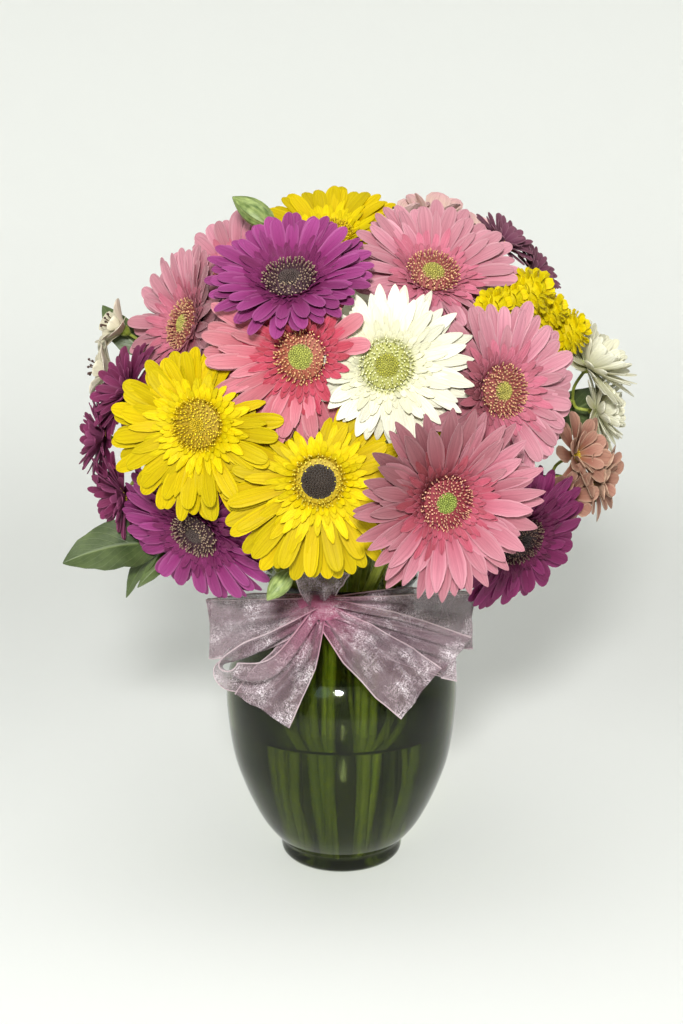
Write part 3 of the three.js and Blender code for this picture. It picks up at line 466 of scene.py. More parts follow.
def bezier(a, b, c, d, steps):
    t = np.linspace(0, 1, steps + 1)[:, None]
    return (1 - t) ** 3 * a + 3 * (1 - t) ** 2 * t * b + 3 * (1 - t) * t ** 2 * c + t ** 3 * d


# Materials
WHITE, BLACK = (1, 1, 1, 1), (0, 0, 0, 1)


class Value:
    """A shader socket that takes arithmetic: each step is one Math node."""

    def __init__(self, look, socket):
        self.look, self.socket = look, socket

    def step(self, how, other=0.0, clamp=False):
        return self.look.node("Math", {0: self, 1: other}, operation=how, use_clamp=clamp)

    def __add__(self, other):
        return self.step("ADD", other)

    def __sub__(self, other):
        return self.step("SUBTRACT", other)

    def __mul__(self, other):
        return self.step("MULTIPLY", other)

    def __pow__(self, other):
        return self.step("POWER", other)

    def __abs__(self):
        return self.step("ABSOLUTE")


class Look:
    """A material being built round its Principled shader."""

    def __init__(self, name):
        self.material = bpy.data.materials.new(name)
        self.material.use_nodes = True
        self.tree = self.material.node_tree

    def feed(self, owner, inputs):
        for key, value in inputs.items():
            if isinstance(value, Value):
                self.tree.links.new(value.socket, owner.inputs[key])
            else:
                owner.inputs[key].default_value = value

    def node(self, kind, inputs=(), out=0, **settings):
        made = self.tree.nodes.new("ShaderNode" + kind)
        for key, value in settings.items():
            setattr(made, key, value)
        self.feed(made, dict(inputs))
        return Value(self, made.outputs[out])

    def marks(self):
        """What each point carries: along, across, tone, underside."""
        colour = self.node("Attribute", out="Color", attribute_name="marks")
        split = self.node("SeparateColor", {0: colour}).socket.node
        alpha = colour.socket.node.outputs["Alpha"]
        return [Value(self, socket) for socket in (*split.outputs, alpha)]

    def mix(self, share, first, second, how="MIX"):
        first, second = (c if isinstance(c, Value) else linear(c) for c in (first, second))
        return self.node("Mix", {0: share, 6: first, 7: second}, 2, data_type="RGBA", blend_type=how)

    def ramp(self, value, *stops):
        made = self.node("ValToRGB", {0: value})
        elements = made.socket.node.color_ramp.elements
        while len(elements) < len(stops):
            elements.new(0.5)
        for element, (place, colour) in zip(elements, stops):
            element.position, element.color = place, linear(colour)
        return made

    def darken_where_low(self, colour, share, value, low, dark, high):
        """Darkens a colour where value is low, by nothing where it is high."""
        return self.mix(share, colour, self.ramp(value, (low, dark), (high, WHITE)), "MULTIPLY")

    def noise(self, scale, detail=2.0, roughness=0.5, vector=None):
        vector = vector or self.node("TexCoord", out="Object")
        return self.node("TexNoise", {"Vector": vector, "Scale": scale, "Detail": detail,
                                      "Roughness": roughness})

    def streaks(self, x, y, z, roughness=0.5):
        """Noise stretched by what x, y and z are multiplied by."""
        return self.noise(1.0, 3.0, roughness, self.node("CombineXYZ", {0: x, 1: y, 2: z}))

    def finish(self, inputs, height=None, strength=0.0, distance=0.0):
        """Feeds the shader, with a bump of the given height, and hands over the material."""
        shader = self.tree.nodes["Principled BSDF"]
        self.feed(shader, inputs)
        if height is not None:
            bump = {"Strength": strength, "Distance": distance, "Height": height}
            self.feed(shader, {"Normal": self.node("Bump", bump)})
        return self.material


def petal_material(name, root, middle, tip, edge):
    """Petal: colour runs from root to tip, paler rim, fine lines along it, painted shade in its grooves,
    its own tone, which on one side of some heads is lowered as painted shade.
    """
    look = Look(name)
    along, side, tone, below = look.marks()
    colour = look.ramp(along, (0.0, root), (0.42, middle), (1.0, tip))
    colour = look.mix((abs(side - 0.5) * 2.0) ** 5.0 * 0.45, colour, edge)
    lines = look.streaks(side * 16.0, along * 0.9, tone * 37.0, 0.6)
    groove_bump_and_shade = abs((side * (3 * math.pi)).step("COSINE")) ** 0.4
    groove_bump_and_shade = look.mix(along * along, (0.5, 0.5, 0.5, 1), groove_bump_and_shade)
    # Painted shade: the colour is darkened along the grooves, where shade falls between the ridges; the same
    # grooves also drive the bump.
    colour = look.darken_where_low(colour, 0.5, groove_bump_and_shade, 0.0, (0.62, 0.56, 0.58, 1), 0.6)
    colour = look.darken_where_low(colour, 0.75, lines, 0.3, (0.74, 0.70, 0.72, 1), 0.62)
    colour = look.darken_where_low(colour, 0.35, look.noise(60.0), 0.3, (0.82, 0.8, 0.8, 1), 0.7)
    # Value follows each petal's tone: random from petal to petal, and lowered as painted shade on one side of
    # some heads.
    colour = look.node("HueSaturation", {"Color": colour, "Value": tone * 0.26 + 0.75,
                                         "Hue": tone * -0.006 + 0.503})
    return look.finish({"Base Color": look.mix(below * 0.45, colour, edge),
                        "Roughness": lines * 0.25 + 0.43, "Specular IOR Level": 0.14},
                       lines * 0.5 + groove_bump_and_shade, 0.5, 0.0006)


def floret_material(name, root, tip):
    """Floret or bud: darker root, speckled, its own tone."""
    look = Look(name)
    along, side, tone, below = look.marks()
    speck = look.noise(900.0)
    colour = look.ramp(along, (0.3, root), (0.8, tip))
    colour = look.darken_where_low(colour, 0.5, speck, 0.35, (0.7, 0.68, 0.66, 1), 0.6)
    colour = look.node("HueSaturation", {"Color": colour, "Value": tone * 0.5 + 0.72})
    return look.finish({"Base Color": colour, "Roughness": 0.6}, speck, 0.3, 0.0003)


def green_material(name, dark, light, scale=220.0):
    """Stem or calyx: streaks along it and soft blotches."""
    look = Look(name)
    along, side, tone, below = look.marks()
    lines = look.streaks(side * 14.0, along * 5.0, tone * 31.0)
    blotches = look.noise(scale, 3.0)
    colour = look.ramp(lines * 0.6 + blotches * 0.5, (0.35, dark), (0.72, light))
    colour = look.darken_where_low(colour, 1.0, tone, 0.0, (0.5, 0.52, 0.5, 1), 1.0)
    return look.finish({"Base Color": colour, "Roughness": blotches * 0.2 + 0.4}, lines, 0.4, 0.0006)


def leaf_material(name, dark, light, vein):
    """Leaf: paler midrib and slanting side veins, darker and lighter patches."""
    look = Look(name)
    along, side, tone, below = look.marks()
    out = abs(side - 0.5)
    rib = (out * -22.0).step("ADD", 1.0, clamp=True)
    wave = abs(((along * 9.0 - out * 7.0) * math.pi).step("SINE"))
    side_veins = (wave * -6.0).step("ADD", 1.0, clamp=True)
    veins = rib.step("MAXIMUM", side_veins * 0.55)
    patches = look.noise(70.0, 4.0, 0.6)
    colour = look.ramp(patches * 0.8 + tone * 0.2, (0.3, dark), (0.7, light))
    colour = look.mix(veins * 0.55, colour, vein)
    colour = look.mix(below * 0.4, colour, vein)
    return look.finish({"Base Color": colour, "Roughness": patches * 0.25 + 0.34},
                       look.noise(1400.0) * 0.25 - veins, 0.35, 0.0008)


# Things already in place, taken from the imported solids
for cad_name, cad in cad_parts.items():
    if cad_name.startswith(("vase", "ribbon", "stems", "greenery", "pompons")) or cad_name.endswith("_disc"):
        co = np.array([v.co for v in cad.data.vertices]) / MM
        owner = cad_name[len("gerbera_"):-len("_disc")] if cad_name.endswith("_disc") else None
        placed.append(Obstacle(co, [list(p.vertices) for p in cad.data.polygons], owner))

# Stems with the green calyx under each head
stem_green = green_material("stem_green", (128, 148, 36), (204, 212, 92))
calyx_green = green_material("calyx_green", (58, 76, 34), (112, 130, 66), 500.0)


def bunch_foot(flower):
    members = [one for one in GERBERAS if one["bunch"] == flower["bunch"]]
    middle = sum(on_ring(one["neck"], 0) for one in members) / len(members)
    foot = on_ring(BUNCH_FOOT[flower["bunch"]], 0) + (on_ring(flower["neck"], 0) - middle) * BUNCH_SPREAD
    return foot + [0, 0, STEM_FOOT]


for bunch, bunch_name in enumerate(BUNCH_NAMES):
    form = Form()
    for flower in GERBERAS:
        if flower["bunch"] != bunch:
            continue
        head = Head(flower["at"], flower["face"])
        look = head.axes[2]
        neck = on_ring(flower["neck"], NECK_HEIGHT)
        start = head.at - look * CALYX_DEPTH
        bend = start + (neck - start) * 0.65
        bend[2] = neck[2] + (start[2] - neck[2]) * 0.45
        upper = bezier(start + look * 4, start - look * 30, bend, neck, 18)
        foot = bunch_foot(flower)
        share = np.linspace(0, 1, 12)[1:, None]
        sway = math.sin(flower["at"][0] * 1.7 + flower["at"][2])
        bow = unit((neck + foot) * [1, 1, 0]) * (STEM_BOW + 4 * sway)
        bow = bow + np.cross([0, 0, 1], bow) * 0.5 * math.cos(flower["at"][2])
        lower = neck + (foot - neck) * share + bow * np.sin(share * math.pi)
        line = np.vstack([upper, lower])
        swell = STEM_RADIUS * (1 + 0.05 * np.sin(np.arange(len(line)) * 1.3 + bunch)) * 0.97
        form.add(*tube(line, swell, 10, rng.uniform()), kind=0)
        cup = [head.at + look * z for z in (-16, -13, -9, -5.5, -3.2, -2.6)]
        form.add(*tube(cup, [3, 5, 8.2, 9.6, 10, 6], 16, rng.uniform()), kind=1)
        for layer, (root, lift, reach, slope) in enumerate([(5.5, -12.5, 16, 52), (8.2, -9.5, 17, 66)]):
            shape = dict(root=root, reach=reach, cup=slope, curl=26, lift=lift, half=1.9, thick=0.7,
                         cols=3, outline="strap", channel=-0.2)
            whorl(form, head, shape, 13, layer * 0.5, kind=1, wild=0.5, free=True)
    form.make(f"stems_{bunch_name}_fine", [stem_green, calyx_green], [f"stems_{bunch_name}"], "stem")

# Leafy stems
leaf_green = leaf_material("leaf_green", (48, 62, 30), (92, 108, 58), (124, 138, 86))
bud_green = green_material("bud_green", (78, 104, 40), (176, 192, 116))


def branch_points(fork, by, to):
    t = np.linspace(0, 1, 4)[:, None]
    return (1 - t) ** 2 * np.array(fork) + 2 * (1 - t) * t * np.array(by) + t ** 2 * np.array(to)


def bud(form, start, tip, radius):
    """Closed flower bud: an egg shape with ridges along it."""
    start, tip = np.array(start, float), np.array(tip, float)
    t = np.array([0, 0.05, 0.16, 0.3, 0.45, 0.6, 0.74, 0.86, 0.95, 1])
    radii = np.array([0.3, 0.52, 0.8, 0.96, 1, 0.92, 0.72, 0.46, 0.22, 0.06]) * radius
    line = start + (tip - start) * t[:, None]
    points, faces, marks = tube(line, radii, BUD_SIDES, rng.uniform())
    centre = np.repeat(line, BUD_SIDES, axis=0)
    ridge = 1 + 0.07 * np.cos(np.arange(BUD_SIDES) / BUD_SIDES * 2 * math.pi * BUD_RIDGES)
    ridge = np.tile(ridge, len(t))[:, None]
    form.add(centre + (points - centre) * ridge, faces, marks, kind=2)


def leaf(start, tip, half, up):
    along = np.array(tip, float) - start
    side = unit(np.cross(up, along))
    top = unit(np.cross(along, side))
    arch = np.linalg.norm(along) * 0.08
    t = np.array([0, 0.06, 0.14, 0.24, 0.34, 0.44, 0.54, 0.64, 0.73, 0.81, 0.88, 0.94, 0.98, 1])
    droop = rng.uniform(0.6, 1.2)
    line = start + along * t[:, None] + top * (np.sin(t * math.pi) * arch - t ** 3 * droop)[:, None]
    bend = rng.uniform(-0.05, 0.05) * np.linalg.norm(along)
    line = line + side * (np.sin(t * math.pi) * bend)[:, None]
    widths = np.interp(t, [0, 0.06, 0.18, 0.34, 0.5, 0.66, 0.8, 0.9, 0.97, 1],
                       [0.12, 0.34, 0.78, 1, 0.98, 0.84, 0.6, 0.36, 0.14, 0.02]) * half
    widths = widths * (1 + 0.035 * np.sin(t * 40))
    ripple = rng.uniform(0, 6)

    def relief(u, v):
        fold = 0.16 * np.abs(u) - 0.08
        wave = 0.07 * np.sin(v * 14 + ripple) * np.abs(u) ** 2
        veins = 0.018 * np.sin((v * 9 - np.abs(u) * 3.5) * 2 * math.pi) * (1 - u ** 2)
        return fold + wave + veins

    return sheet(line, np.tile(side, (len(t), 1)), widths, 13, 0.8, relief, t, rng.uniform())


for green_name, plan in GREENERY.items():
    form = Form()
    neck = on_ring(plan["neck"], NECK_HEIGHT)
    main = np.vstack([np.linspace(on_ring(plan["foot"], STEM_FOOT), neck, 12),
                      np.linspace(neck, plan["fork"], 6)[1:]])
    form.add(*tube(main, np.full(len(main), THIN_STEM_RADIUS), 8, 0.4), kind=0)
    for by, to in plan["branches"]:
        points = branch_points(plan["fork"], by, to)
        line = curve(points, 5)
        form.add(*tube(line, np.linspace(1.5, 1.0, len(line)), 7, rng.uniform()), kind=0)
    for branch, point, tip, half, up in plan["leaves"]:
        by, to = plan["branches"][branch]
        start = branch_points(plan["fork"], by, to)[point]
        if up is BUD:
            bud(form, start, tip, half)
        else:
            form.add(*leaf(start, tip, half, up), kind=1)
    form.make(f"greenery_{green_name}_fine", [stem_green, leaf_green, bud_green],
              [f"greenery_{green_name}"], "leaf")

# Gerberas
def gerbera_materials(look, name):
    colours = PALETTES[look]
    return [
        petal_material(f"{name}_ray", *colours["rays"]),
        petal_material(f"{name}_inner", colours["inner"][0], colours["inner"][1], colours["inner"][1],
                       colours["rays"][2]),
    ], [
        floret_material(f"{name}_floret", *colours["ring"]),
        floret_material(f"{name}_eye", [c * 0.8 for c in colours["eye"]], colours["eye"]),
    ]


looks = {look: gerbera_materials(look, look) for look in PALETTES}


def disc(form, head, flower, detail):
    """Closed eye of tight buds, with a ring of open florets round it."""
    eye = flower["eye"]
    radii = [DISC_RADIUS - 0.6, DISC_RADIUS - 0.6, eye + 1, eye * 0.6, 0.5]
    line = head.place(np.array([[0, 0, DISC_BASE + rise] for rise in (0, 0.9, 2.2, 2.6, 2.7)]))
    points, faces, marks = tube(line[:3], radii[:3], DISC_SIDES, 0.1)
    marks[:, 0] = 0
    form.add(points, faces, marks, kind=0)
    form.add(*tube(line[1:], [eye + 1.2] + radii[2:], DISC_SIDES, 0.4), kind=1)
    golden = math.pi * (3 - math.sqrt(5))
    buds = int(detail * BUD_DENSITY * eye)
    for index in range(buds):
        radius = eye * math.sqrt((index + 0.5) / buds)
        turn = index * golden
        size = 0.5 + 0.22 * radius / eye
        height = DISC_BASE + 2.6 + 0.9 * (1 - (radius / eye) ** 2)
        at = polar(radius, turn, height)
        lean = unit([at[0] * 0.03, at[1] * 0.03, 1])
        line = head.place(np.array([at - lean * 1.4, at, at + lean * size * 0.7, at + lean * size]))
        radii = [size * 0.8, size * 0.95, size * 0.7, size * 0.2]
        form.add(*tube(line, radii, 6, rng.uniform()), kind=1)
    florets = int(detail * FLORET_DENSITY * (14.5 - eye))
    for index in range(florets):
        share = (index + 0.5) / florets
        radius = math.sqrt(eye ** 2 + share * (FLORET_REACH ** 2 - eye ** 2))
        turn = index * golden + rng.uniform(-0.1, 0.1)
        out = polar(1, turn)
        lean = unit(out * (0.1 + 0.5 * share) + [0, 0, 1])
        tall = 1.9 + 1.5 * math.sin(share * math.pi) + rng.uniform(-0.4, 0.7)
        foot = out * radius + [0, 0, DISC_BASE + 1.0 + 1.0 * (1 - share)]
        curl = out * rng.uniform(0.2, 0.9) + np.array([-out[1], out[0], 0]) * rng.uniform(-0.5, 0.5)
        line = np.array([foot, foot + lean * tall * 0.6, foot + lean * tall, foot + lean * tall + curl])
        radii = [0.26, 0.22, 0.37 + rng.uniform(-0.1, 0.12), 0.1]
        form.add(*tube(head.place(line), radii, 5, rng.uniform()), kind=0)


for flower in GERBERAS:
    own_ways = [flower.get(way, (0, 0)) for way in ("lop", "trim", "shade", "bend")]
    head = Head(flower["at"], flower["face"], flower["name"], *own_ways)
    rays = Form()
    behind = "_back" in flower["name"]
    outline = flower.get("outline", "rounded")
    for layer, (lift, tilt, share, more) in enumerate(RAY_LAYERS):
        shape = dict(root=PETAL_ROOT, reach=flower["reach"] * share, cup=flower["cup"] + tilt,
                     curl=PETAL_CURL, lift=lift, half=flower.get("half", PETAL_HALF), thick=0.75,
                     cols=5, outline=outline)
        whorl(rays, head, shape, flower.get("count", 17) + more, layer / 3, kind=0)
    scale = flower["reach"] / 50
    for layer, (root, reach, tilt, count, half) in enumerate(INNER_LAYERS):
        shape = dict(root=root, reach=root + (reach - root) * scale, cup=flower["cup"] * 0.7 + tilt,
                     curl=20, lift=layer * 0.3 - 0.1, half=half, thick=0.5, cols=3, outline="strap",
                     channel=0.25)
        whorl(rays, head, shape, count, rng.uniform(), kind=0 if layer < 1 else 1, wild=1.5)
    ray_looks, disc_looks = looks[flower["look"]]
    placed.append(rays.tree())
    name = flower["name"]
    colour = name.split("_")[0]
    rays.make(f"gerbera_{name}_petals", ray_looks, [f"gerbera_{name}_rays"], f"petals_{colour}")
    middle = Form()
    disc(middle, head, flower, 0.6 if behind else 1.0)
    dark = flower["look"] in ("magenta", "dark_magenta", "yellow_dark_eye")
    middle.make(f"gerbera_{name}_florets", disc_looks, [f"gerbera_{name}_disc"],
                "disc_dark" if dark else "disc_gold")

# Small flowers: the branch that carries them, root, middle, tip and edge colours of the petals, and
# of each head the middle, the way it faces, reach and cup
SPRAYS = [
    dict(name="daisies_purple_left", kind="double", slot="filler_purple", on=("left", 0),
         colours=((76, 20, 48), (112, 36, 74), (136, 56, 96), (164, 92, 130)),
         heads=[((-125, -62, 318), (-54, 26), 30, 25), ((-143, -46, 288), (-70, 8), 30, 22),
         ((-130, -60, 256), (-58, -14), 31, 25)]),
    dict(name="alstroemeria_cream_left", kind="lily", slot="filler_cream", on=("left", 1),
         colours=((190, 178, 120), (222, 212, 176), (232, 224, 198), (240, 234, 214)),
         heads=[((-133, -28, 352), (-76, 30), 21, 38), ((-141, -30, 328), (-80, 10), 20, 35)]),
    dict(name="mums_white_right", kind="mum", slot="filler_white", on=("right", 1),
         colours=((190, 198, 120), (230, 228, 190), (242, 240, 212), (250, 248, 230)),
         heads=[((150, -32, 330), (60, 44), 33, 34), ((158, -24, 302), (70, 8), 28, 28)]),
    dict(name="alstroemeria_peach_right", kind="full", slot="filler_peach", on=("right", 0),
         colours=((150, 104, 60), (158, 104, 86), (190, 144, 124), (220, 192, 164)),
         heads=[((139, -60, 280), (48, 14), 28, 25), ((154, -44, 263), (64, -4), 26, 28),
         ((131, -64, 254), (44, -16), 27, 25)]),
    dict(name="asters_mauve_right", kind="aster", slot="filler_mauve", on=("right", 3),
         colours=((76, 34, 52), (108, 58, 80), (132, 82, 100), (158, 116, 130)),
         heads=[((93, -49, 403), (54, 46), 22, 24), ((114, -38, 386), (66, 34), 21, 24)]),
    dict(name="alstroemeria_top", kind="lily", slot="filler_cream", on=("back", 3),
         colours=((196, 184, 130), (226, 206, 176), (226, 176, 178), (238, 206, 200)),
         heads=[((34, -34, 410), (10, 76), 26, 62), ((54, -24, 412), (26, 73), 25, 60),
         ((77, -25, 402), (56, 60), 24, 55)]),
    dict(name="daisies_white_back", kind="daisy", slot="filler_white", on=("back", 0),
         colours=((214, 216, 190), (244, 244, 236), (250, 250, 246), (255, 255, 252)),
         heads=[((-6, 116, 322), (-178, 15), 25, 18), ((-4, 112, 244), (178, -10), 25, 18)]),
]
# Layers of a small flower: count, share of the reach, added cup, half width, outline, curl
SMALL_LAYERS = {
    "daisy": [(15, 1.0, -6, 2.3, "rounded", 14), (15, 0.94, 4, 2.2, "rounded", 14)],
    "double": [(15, 1.0, -14, 3.3, "rounded", 14), (15, 0.92, -2, 3.2, "rounded", 10),
               (13, 0.78, 12, 3.0, "rounded", 4), (10, 0.6, 28, 2.6, "rounded", -6)],
    "aster": [(17, 1.0, -6, 2.5, "rounded", 10), (17, 0.88, 8, 2.3, "rounded", 10),
              (13, 0.66, 24, 2.0, "rounded", 4)],
    "full": [(8, 1.0, -6, 6.0, "spoon", 22), (8, 0.86, 10, 5.2, "spoon", 16), (7, 0.66, 26, 4.2, "spoon", 6)],
    "lily": [(3, 1.0, -6, 9.2, "spoon", 22), (3, 0.98, 6, 7.2, "spoon", 26), (3, 0.7, 22, 5.2, "spoon", 20)],
    "mum": [(16, 1.0, -26, 3.8, "rounded", 0), (16, 0.94, -10, 3.6, "rounded", -14),
            (14, 0.84, 6, 3.4, "rounded", -26), (11, 0.7, 22, 3.2, "rounded", -34),
            (8, 0.52, 38, 2.8, "rounded", -40)],
}
SMALL_ROOT = 2.6
SMALL_FLORETS = 70
STAMEN_TURN = 1.047

small_floret = floret_material("small_floret", (150, 110, 20), (226, 196, 60))
small_bud = floret_material("small_bud", (120, 112, 40), (184, 178, 80))
stamen_dark = floret_material("stamen_dark", (96, 70, 40), (70, 40, 34))


def fork_of(on):
    plan = GREENERY[on[0]]
    line = branch_points(plan["fork"], *plan["branches"][on[1]])
    return line[-1], line[-1] + unit(line[-1] - line[-2]) * 4


for spray in SPRAYS:
    form = Form()
    end, fork = fork_of(spray["on"])
    form.add(*tube([end, (end + fork) / 2, fork], [1.1, 1.3, 1.1], 7, 0.4), kind=3)
    for at, face, reach, cup in spray["heads"]:
        head = Head(at, face)
        look = head.axes[2]
        top = head.at - look * 0.5
        bend = (top - look * 10) * 0.65 + fork * 0.35
        form.add(*tube(curve([top, bend, fork], 6), np.full(13, 1.0), 7, rng.uniform()), kind=3)
        cup_line = [head.at + look * z for z in (-5, -3.4, -1.6, -0.6, 0.2)]
        form.add(*tube(cup_line, [1.2, 2.6, 3.6, 3.7, 2.4], 12, rng.uniform()), kind=3)
        for layer, (count, share, tilt, half, outline, curl) in enumerate(SMALL_LAYERS[spray["kind"]]):
            shape = dict(root=SMALL_ROOT, reach=reach * share, cup=cup + tilt, curl=curl,
                         lift=layer * 0.3, half=half, thick=0.6, cols=5, outline=outline, channel=0.22)
            whorl(form, head, shape, count, layer / 2, kind=0, wild=1.2)
        if spray["kind"] == "lily":
            for index in range(6):
                turn = index * STAMEN_TURN + rng.uniform(-0.3, 0.3)
                out = polar(1, turn)
                line = [out * 1.5, out * 2.5 + [0, 0, 6], out * 4.5 + [0, 0, rng.uniform(10, 13)]]
                line.append(line[-1] + out * 1.6 + [0, 0, 0.6])
                line = head.place(curve(line, 3))
                form.add(*tube(line, [0.35] * 7 + [0.7, 0.9, 0.5], 5, 0.5), kind=2)
        else:
            middle = 3.2 if spray["kind"] == "mum" else 4.6
            for index in range(SMALL_FLORETS):
                radius, turn = middle * math.sqrt((index + 0.5) / SMALL_FLORETS), index * GOLDEN_TURN
                foot = polar(radius, turn, 0.4)
                tip = foot + [foot[0] * 0.12, foot[1] * 0.12, 1.9 - radius * 0.16]
                line = head.place(np.array([foot, foot * 0.4 + tip * 0.6, tip]))
                form.add(*tube(line, [0.42, 0.5, 0.3], 5, rng.uniform()), kind=1)
    placed.append(form.tree())
    petals = petal_material(f"{spray['name']}_petal", *spray["colours"])
    middle = small_bud if spray["kind"] == "mum" else small_floret
    form.make(f"{spray['name']}_fine", [petals, middle, stamen_dark, stem_green], [spray["name"]],
              spray["slot"])

# Button mums: balls of short overlapping petals
POMPONS = [((84, -100, 368), 12), ((95, -88, 372), 10), ((106, -77, 376), 15), ((120, -62, 365), 12),
           ((133, -49, 352), 15)]


def pompon(form, middle, radius):
    middle = np.array(middle, float)
    axis = unit([middle[0], middle[1], 60])
    axes = axes_round(axis)
    core = [middle + axis * radius * z for z in (-0.78, -0.62, -0.3, 0.1, 0.5, 0.74)]
    form.add(*tube(core, [radius * r for r in (0.2, 0.5, 0.72, 0.76, 0.56, 0.1)], 14, 0.1), kind=0)
    count = int(radius * 5.6)
    for index in range(count):
        z = 1 - 2 * (index + 0.5) / count
        turn = index * GOLDEN_TURN
        out = polar(math.sqrt(1 - z * z), turn, z)
        away = unit(out * out[2] - np.array([0, 0, 1.0]) + np.array([1e-3, 0, 0]))
        open_up = 0.2 + 0.5 * min(1, (1 - z))
        t = np.linspace(0, 1, 5)[:, None]
        tall = radius * rng.uniform(0.40, 0.52)
        lean = away * open_up * tall * t ** 1.6 - away * 0.12 * tall * (t > 0.9)
        line = out * (radius * 0.55 + tall * (t - 0.18 * t ** 3 * open_up)) + lean
        side = np.cross(out, away)
        halves = np.array([0.6, 0.9, 1.1, 1.05, 0.6]) * rng.uniform(2.5, 3.2) * (0.7 + radius / 40)
        points, faces, marks = sheet(line @ axes + middle, np.tile(side @ axes, (5, 1)), halves, 4, 0.5,
                                     lambda u, v: -0.3 * u ** 2 * v, t[:, 0], rng.uniform())
        form.add(points, faces, marks, 0)


mums = Form()
for middle, radius in POMPONS:
    pompon(mums, middle, radius)
end = branch_points(GREENERY["right"]["fork"], *GREENERY["right"]["branches"][2])[-1]
for middle, radius in POMPONS:
    middle = np.array(middle, float)
    stalk = curve([end, (end + middle) / 2 + [0, 4, -8], middle], 4)
    mums.add(*tube(stalk, np.full(len(stalk), 0.9), 6, rng.uniform()), kind=2)
mum_yellow = petal_material("mum_yellow", (166, 142, 0), (224, 198, 0), (238, 216, 4), (244, 226, 16))
mums.make("pompons_yellow_fine", [mum_yellow, small_bud, stem_green], ["pompons_yellow_right"], "button_mum")

# Ribbon: strips of one length of organza, each gathered towards the knot
KNOT = (-14, -55, 184)
RIBBON_HALF = 19.5
RIBBON_COLS = 29
BAND_RADIUS, BAND_HEIGHT, BAND_HALF, BAND_STEPS = 46.6, 174.5, 7.2, 49
KNOT_SIDES = 28
# The second colour is the near-white of the painted glints on the organza.
KNOT_PINK, PAINTED_GLINT_WHITE = (178, 84, 124), (255, 246, 250)
# Middle line, half widths along it, the way its width lies, and how many folds run along it
RIBBON_PIECES = [
    ([KNOT, (-50, -64, 177), (-81, -55, 171), (-50, -52, 177), KNOT], [7, 16, 19, 16, 7], (0.05, 0, 1), 5),
    ([KNOT, (40, -60, 180), (81, -48, 174), (40, -49, 180), KNOT], [7, 15, 18, 15, 7], (-0.05, 0, 1), 5),
    ([KNOT, (-40, -74, 173), (-60, -80, 165), (-71, -82, 156), (-63, -82, 149), (-40, -80, 153), KNOT],
     [7, 15, 15, 13, 15, 15, 7], (0.2, -0.72, 0.66), 4),
    ([KNOT, (28, -70, 173), (70, -68, 157), (30, -61, 166), KNOT], [6, 15, 16, 12, 6], (0.3, -0.25, 0.9), 11),
    ([KNOT, (-28, -72, 158), (-40, -78, 141), (-48, -80, 127)], [5, 14, 18, 19.5], (0.86, -0.25, -0.42), 5),
    ([KNOT, (10, -70, 166), (32, -78, 150), (48, -80, 138)], [5, 15, 19, 19.5], (0.5, 0.1, 0.86), 5),
    ([KNOT, (-13, -62, 197), (-12, -64, 209)], [6, 12, 17], (1, 0.1, 0), 5),
]


def ribbon_strip(form, line, halves, across, fold):
    steps = 12
    loop = len(line) > 4
    path = curve(line, steps)
    t = np.linspace(0, 1, len(path))
    width = np.interp(t, np.linspace(0, 1, len(halves)), halves)
    gather = 1 - width / RIBBON_HALF
    phase = rng.uniform(0, 6, 3)

    def relief(u, v):
        g = np.interp(v, t, gather)
        folds = (0.10 + 0.55 * g) * np.sin(u * fold * (1 + 0.4 * g) + phase[0] + 1.4 * v)
        ripple = 0.05 * np.sin(u * 9 + phase[1] + 7 * v) + 0.05 * np.sin(v * 19 + phase[2] + 2 * u)
        flat = 1 - 0.92 * np.exp(-((v - 0.5) / 0.13) ** 2) if loop else 1.0
        return (folds + ripple) * flat

    side = np.tile(unit(across), (len(path), 1))
    points, faces, marks = sheet(path, side, width, RIBBON_COLS, 0.3, relief, t, rng.uniform())
    if not loop:
        marks[:, 0] /= 2
    form.add(points, faces, marks, 0)
    grid = points[:len(path) * RIBBON_COLS].reshape(len(path), RIBBON_COLS, 3)
    for column in (0, RIBBON_COLS - 1):
        points, faces, marks = tube(grid[:, column], np.full(len(path), 0.45), 5, 0.5)
        if not loop:
            marks[:, 0] /= 2
        form.add(points, faces, marks, kind=1)


def ribbon_material(name, colour, edge, alpha, glint):
    """Sheer organza: see-through weave with painted glints along its threads, pinker towards the knot."""
    look = Look(name)
    along, side, tone, below = look.marks()
    warp = look.streaks(along * 26.0, side * 90.0, tone, 0.7)
    threads = warp.step("MAXIMUM", look.streaks(along * 160.0, side * 9.0, tone, 0.7))
    cloud = look.noise(48.0, 3.0)
    where = look.ramp(look.noise(62.0, 3.0, 0.6), (0.44, (0.12, 0.12, 0.12, 1)), (0.64, WHITE))
    # Painted glint: near-white flecks along the threads in scattered patches, which also make the cloth less
    # see-through there.
    painted_glint = threads * look.noise(1300.0, 2.0, 0.8) * 2.2
    painted_glint = look.ramp(painted_glint, (0.5, BLACK), (0.76, WHITE)) * where
    near_knot = look.ramp(abs(along - 0.5), (0.3, BLACK), (0.5, WHITE))
    base = look.ramp(cloud, (0.3, colour), (0.7, edge))
    base = look.mix(near_knot * 0.85, base, KNOT_PINK)
    cover = painted_glint * 0.5 + (cloud * 0.3 + (alpha - 0.15))
    return look.finish({"Base Color": look.mix(painted_glint * glint, base, PAINTED_GLINT_WHITE),
                        "Alpha": (near_knot * 0.2).step("ADD", cover, clamp=True),
                        "Roughness": 0.4, "Sheen Weight": 0.25}, threads, 0.35, 0.0005)


organza = ribbon_material("organza", (124, 96, 107), (152, 126, 134), 0.34, 0.9)
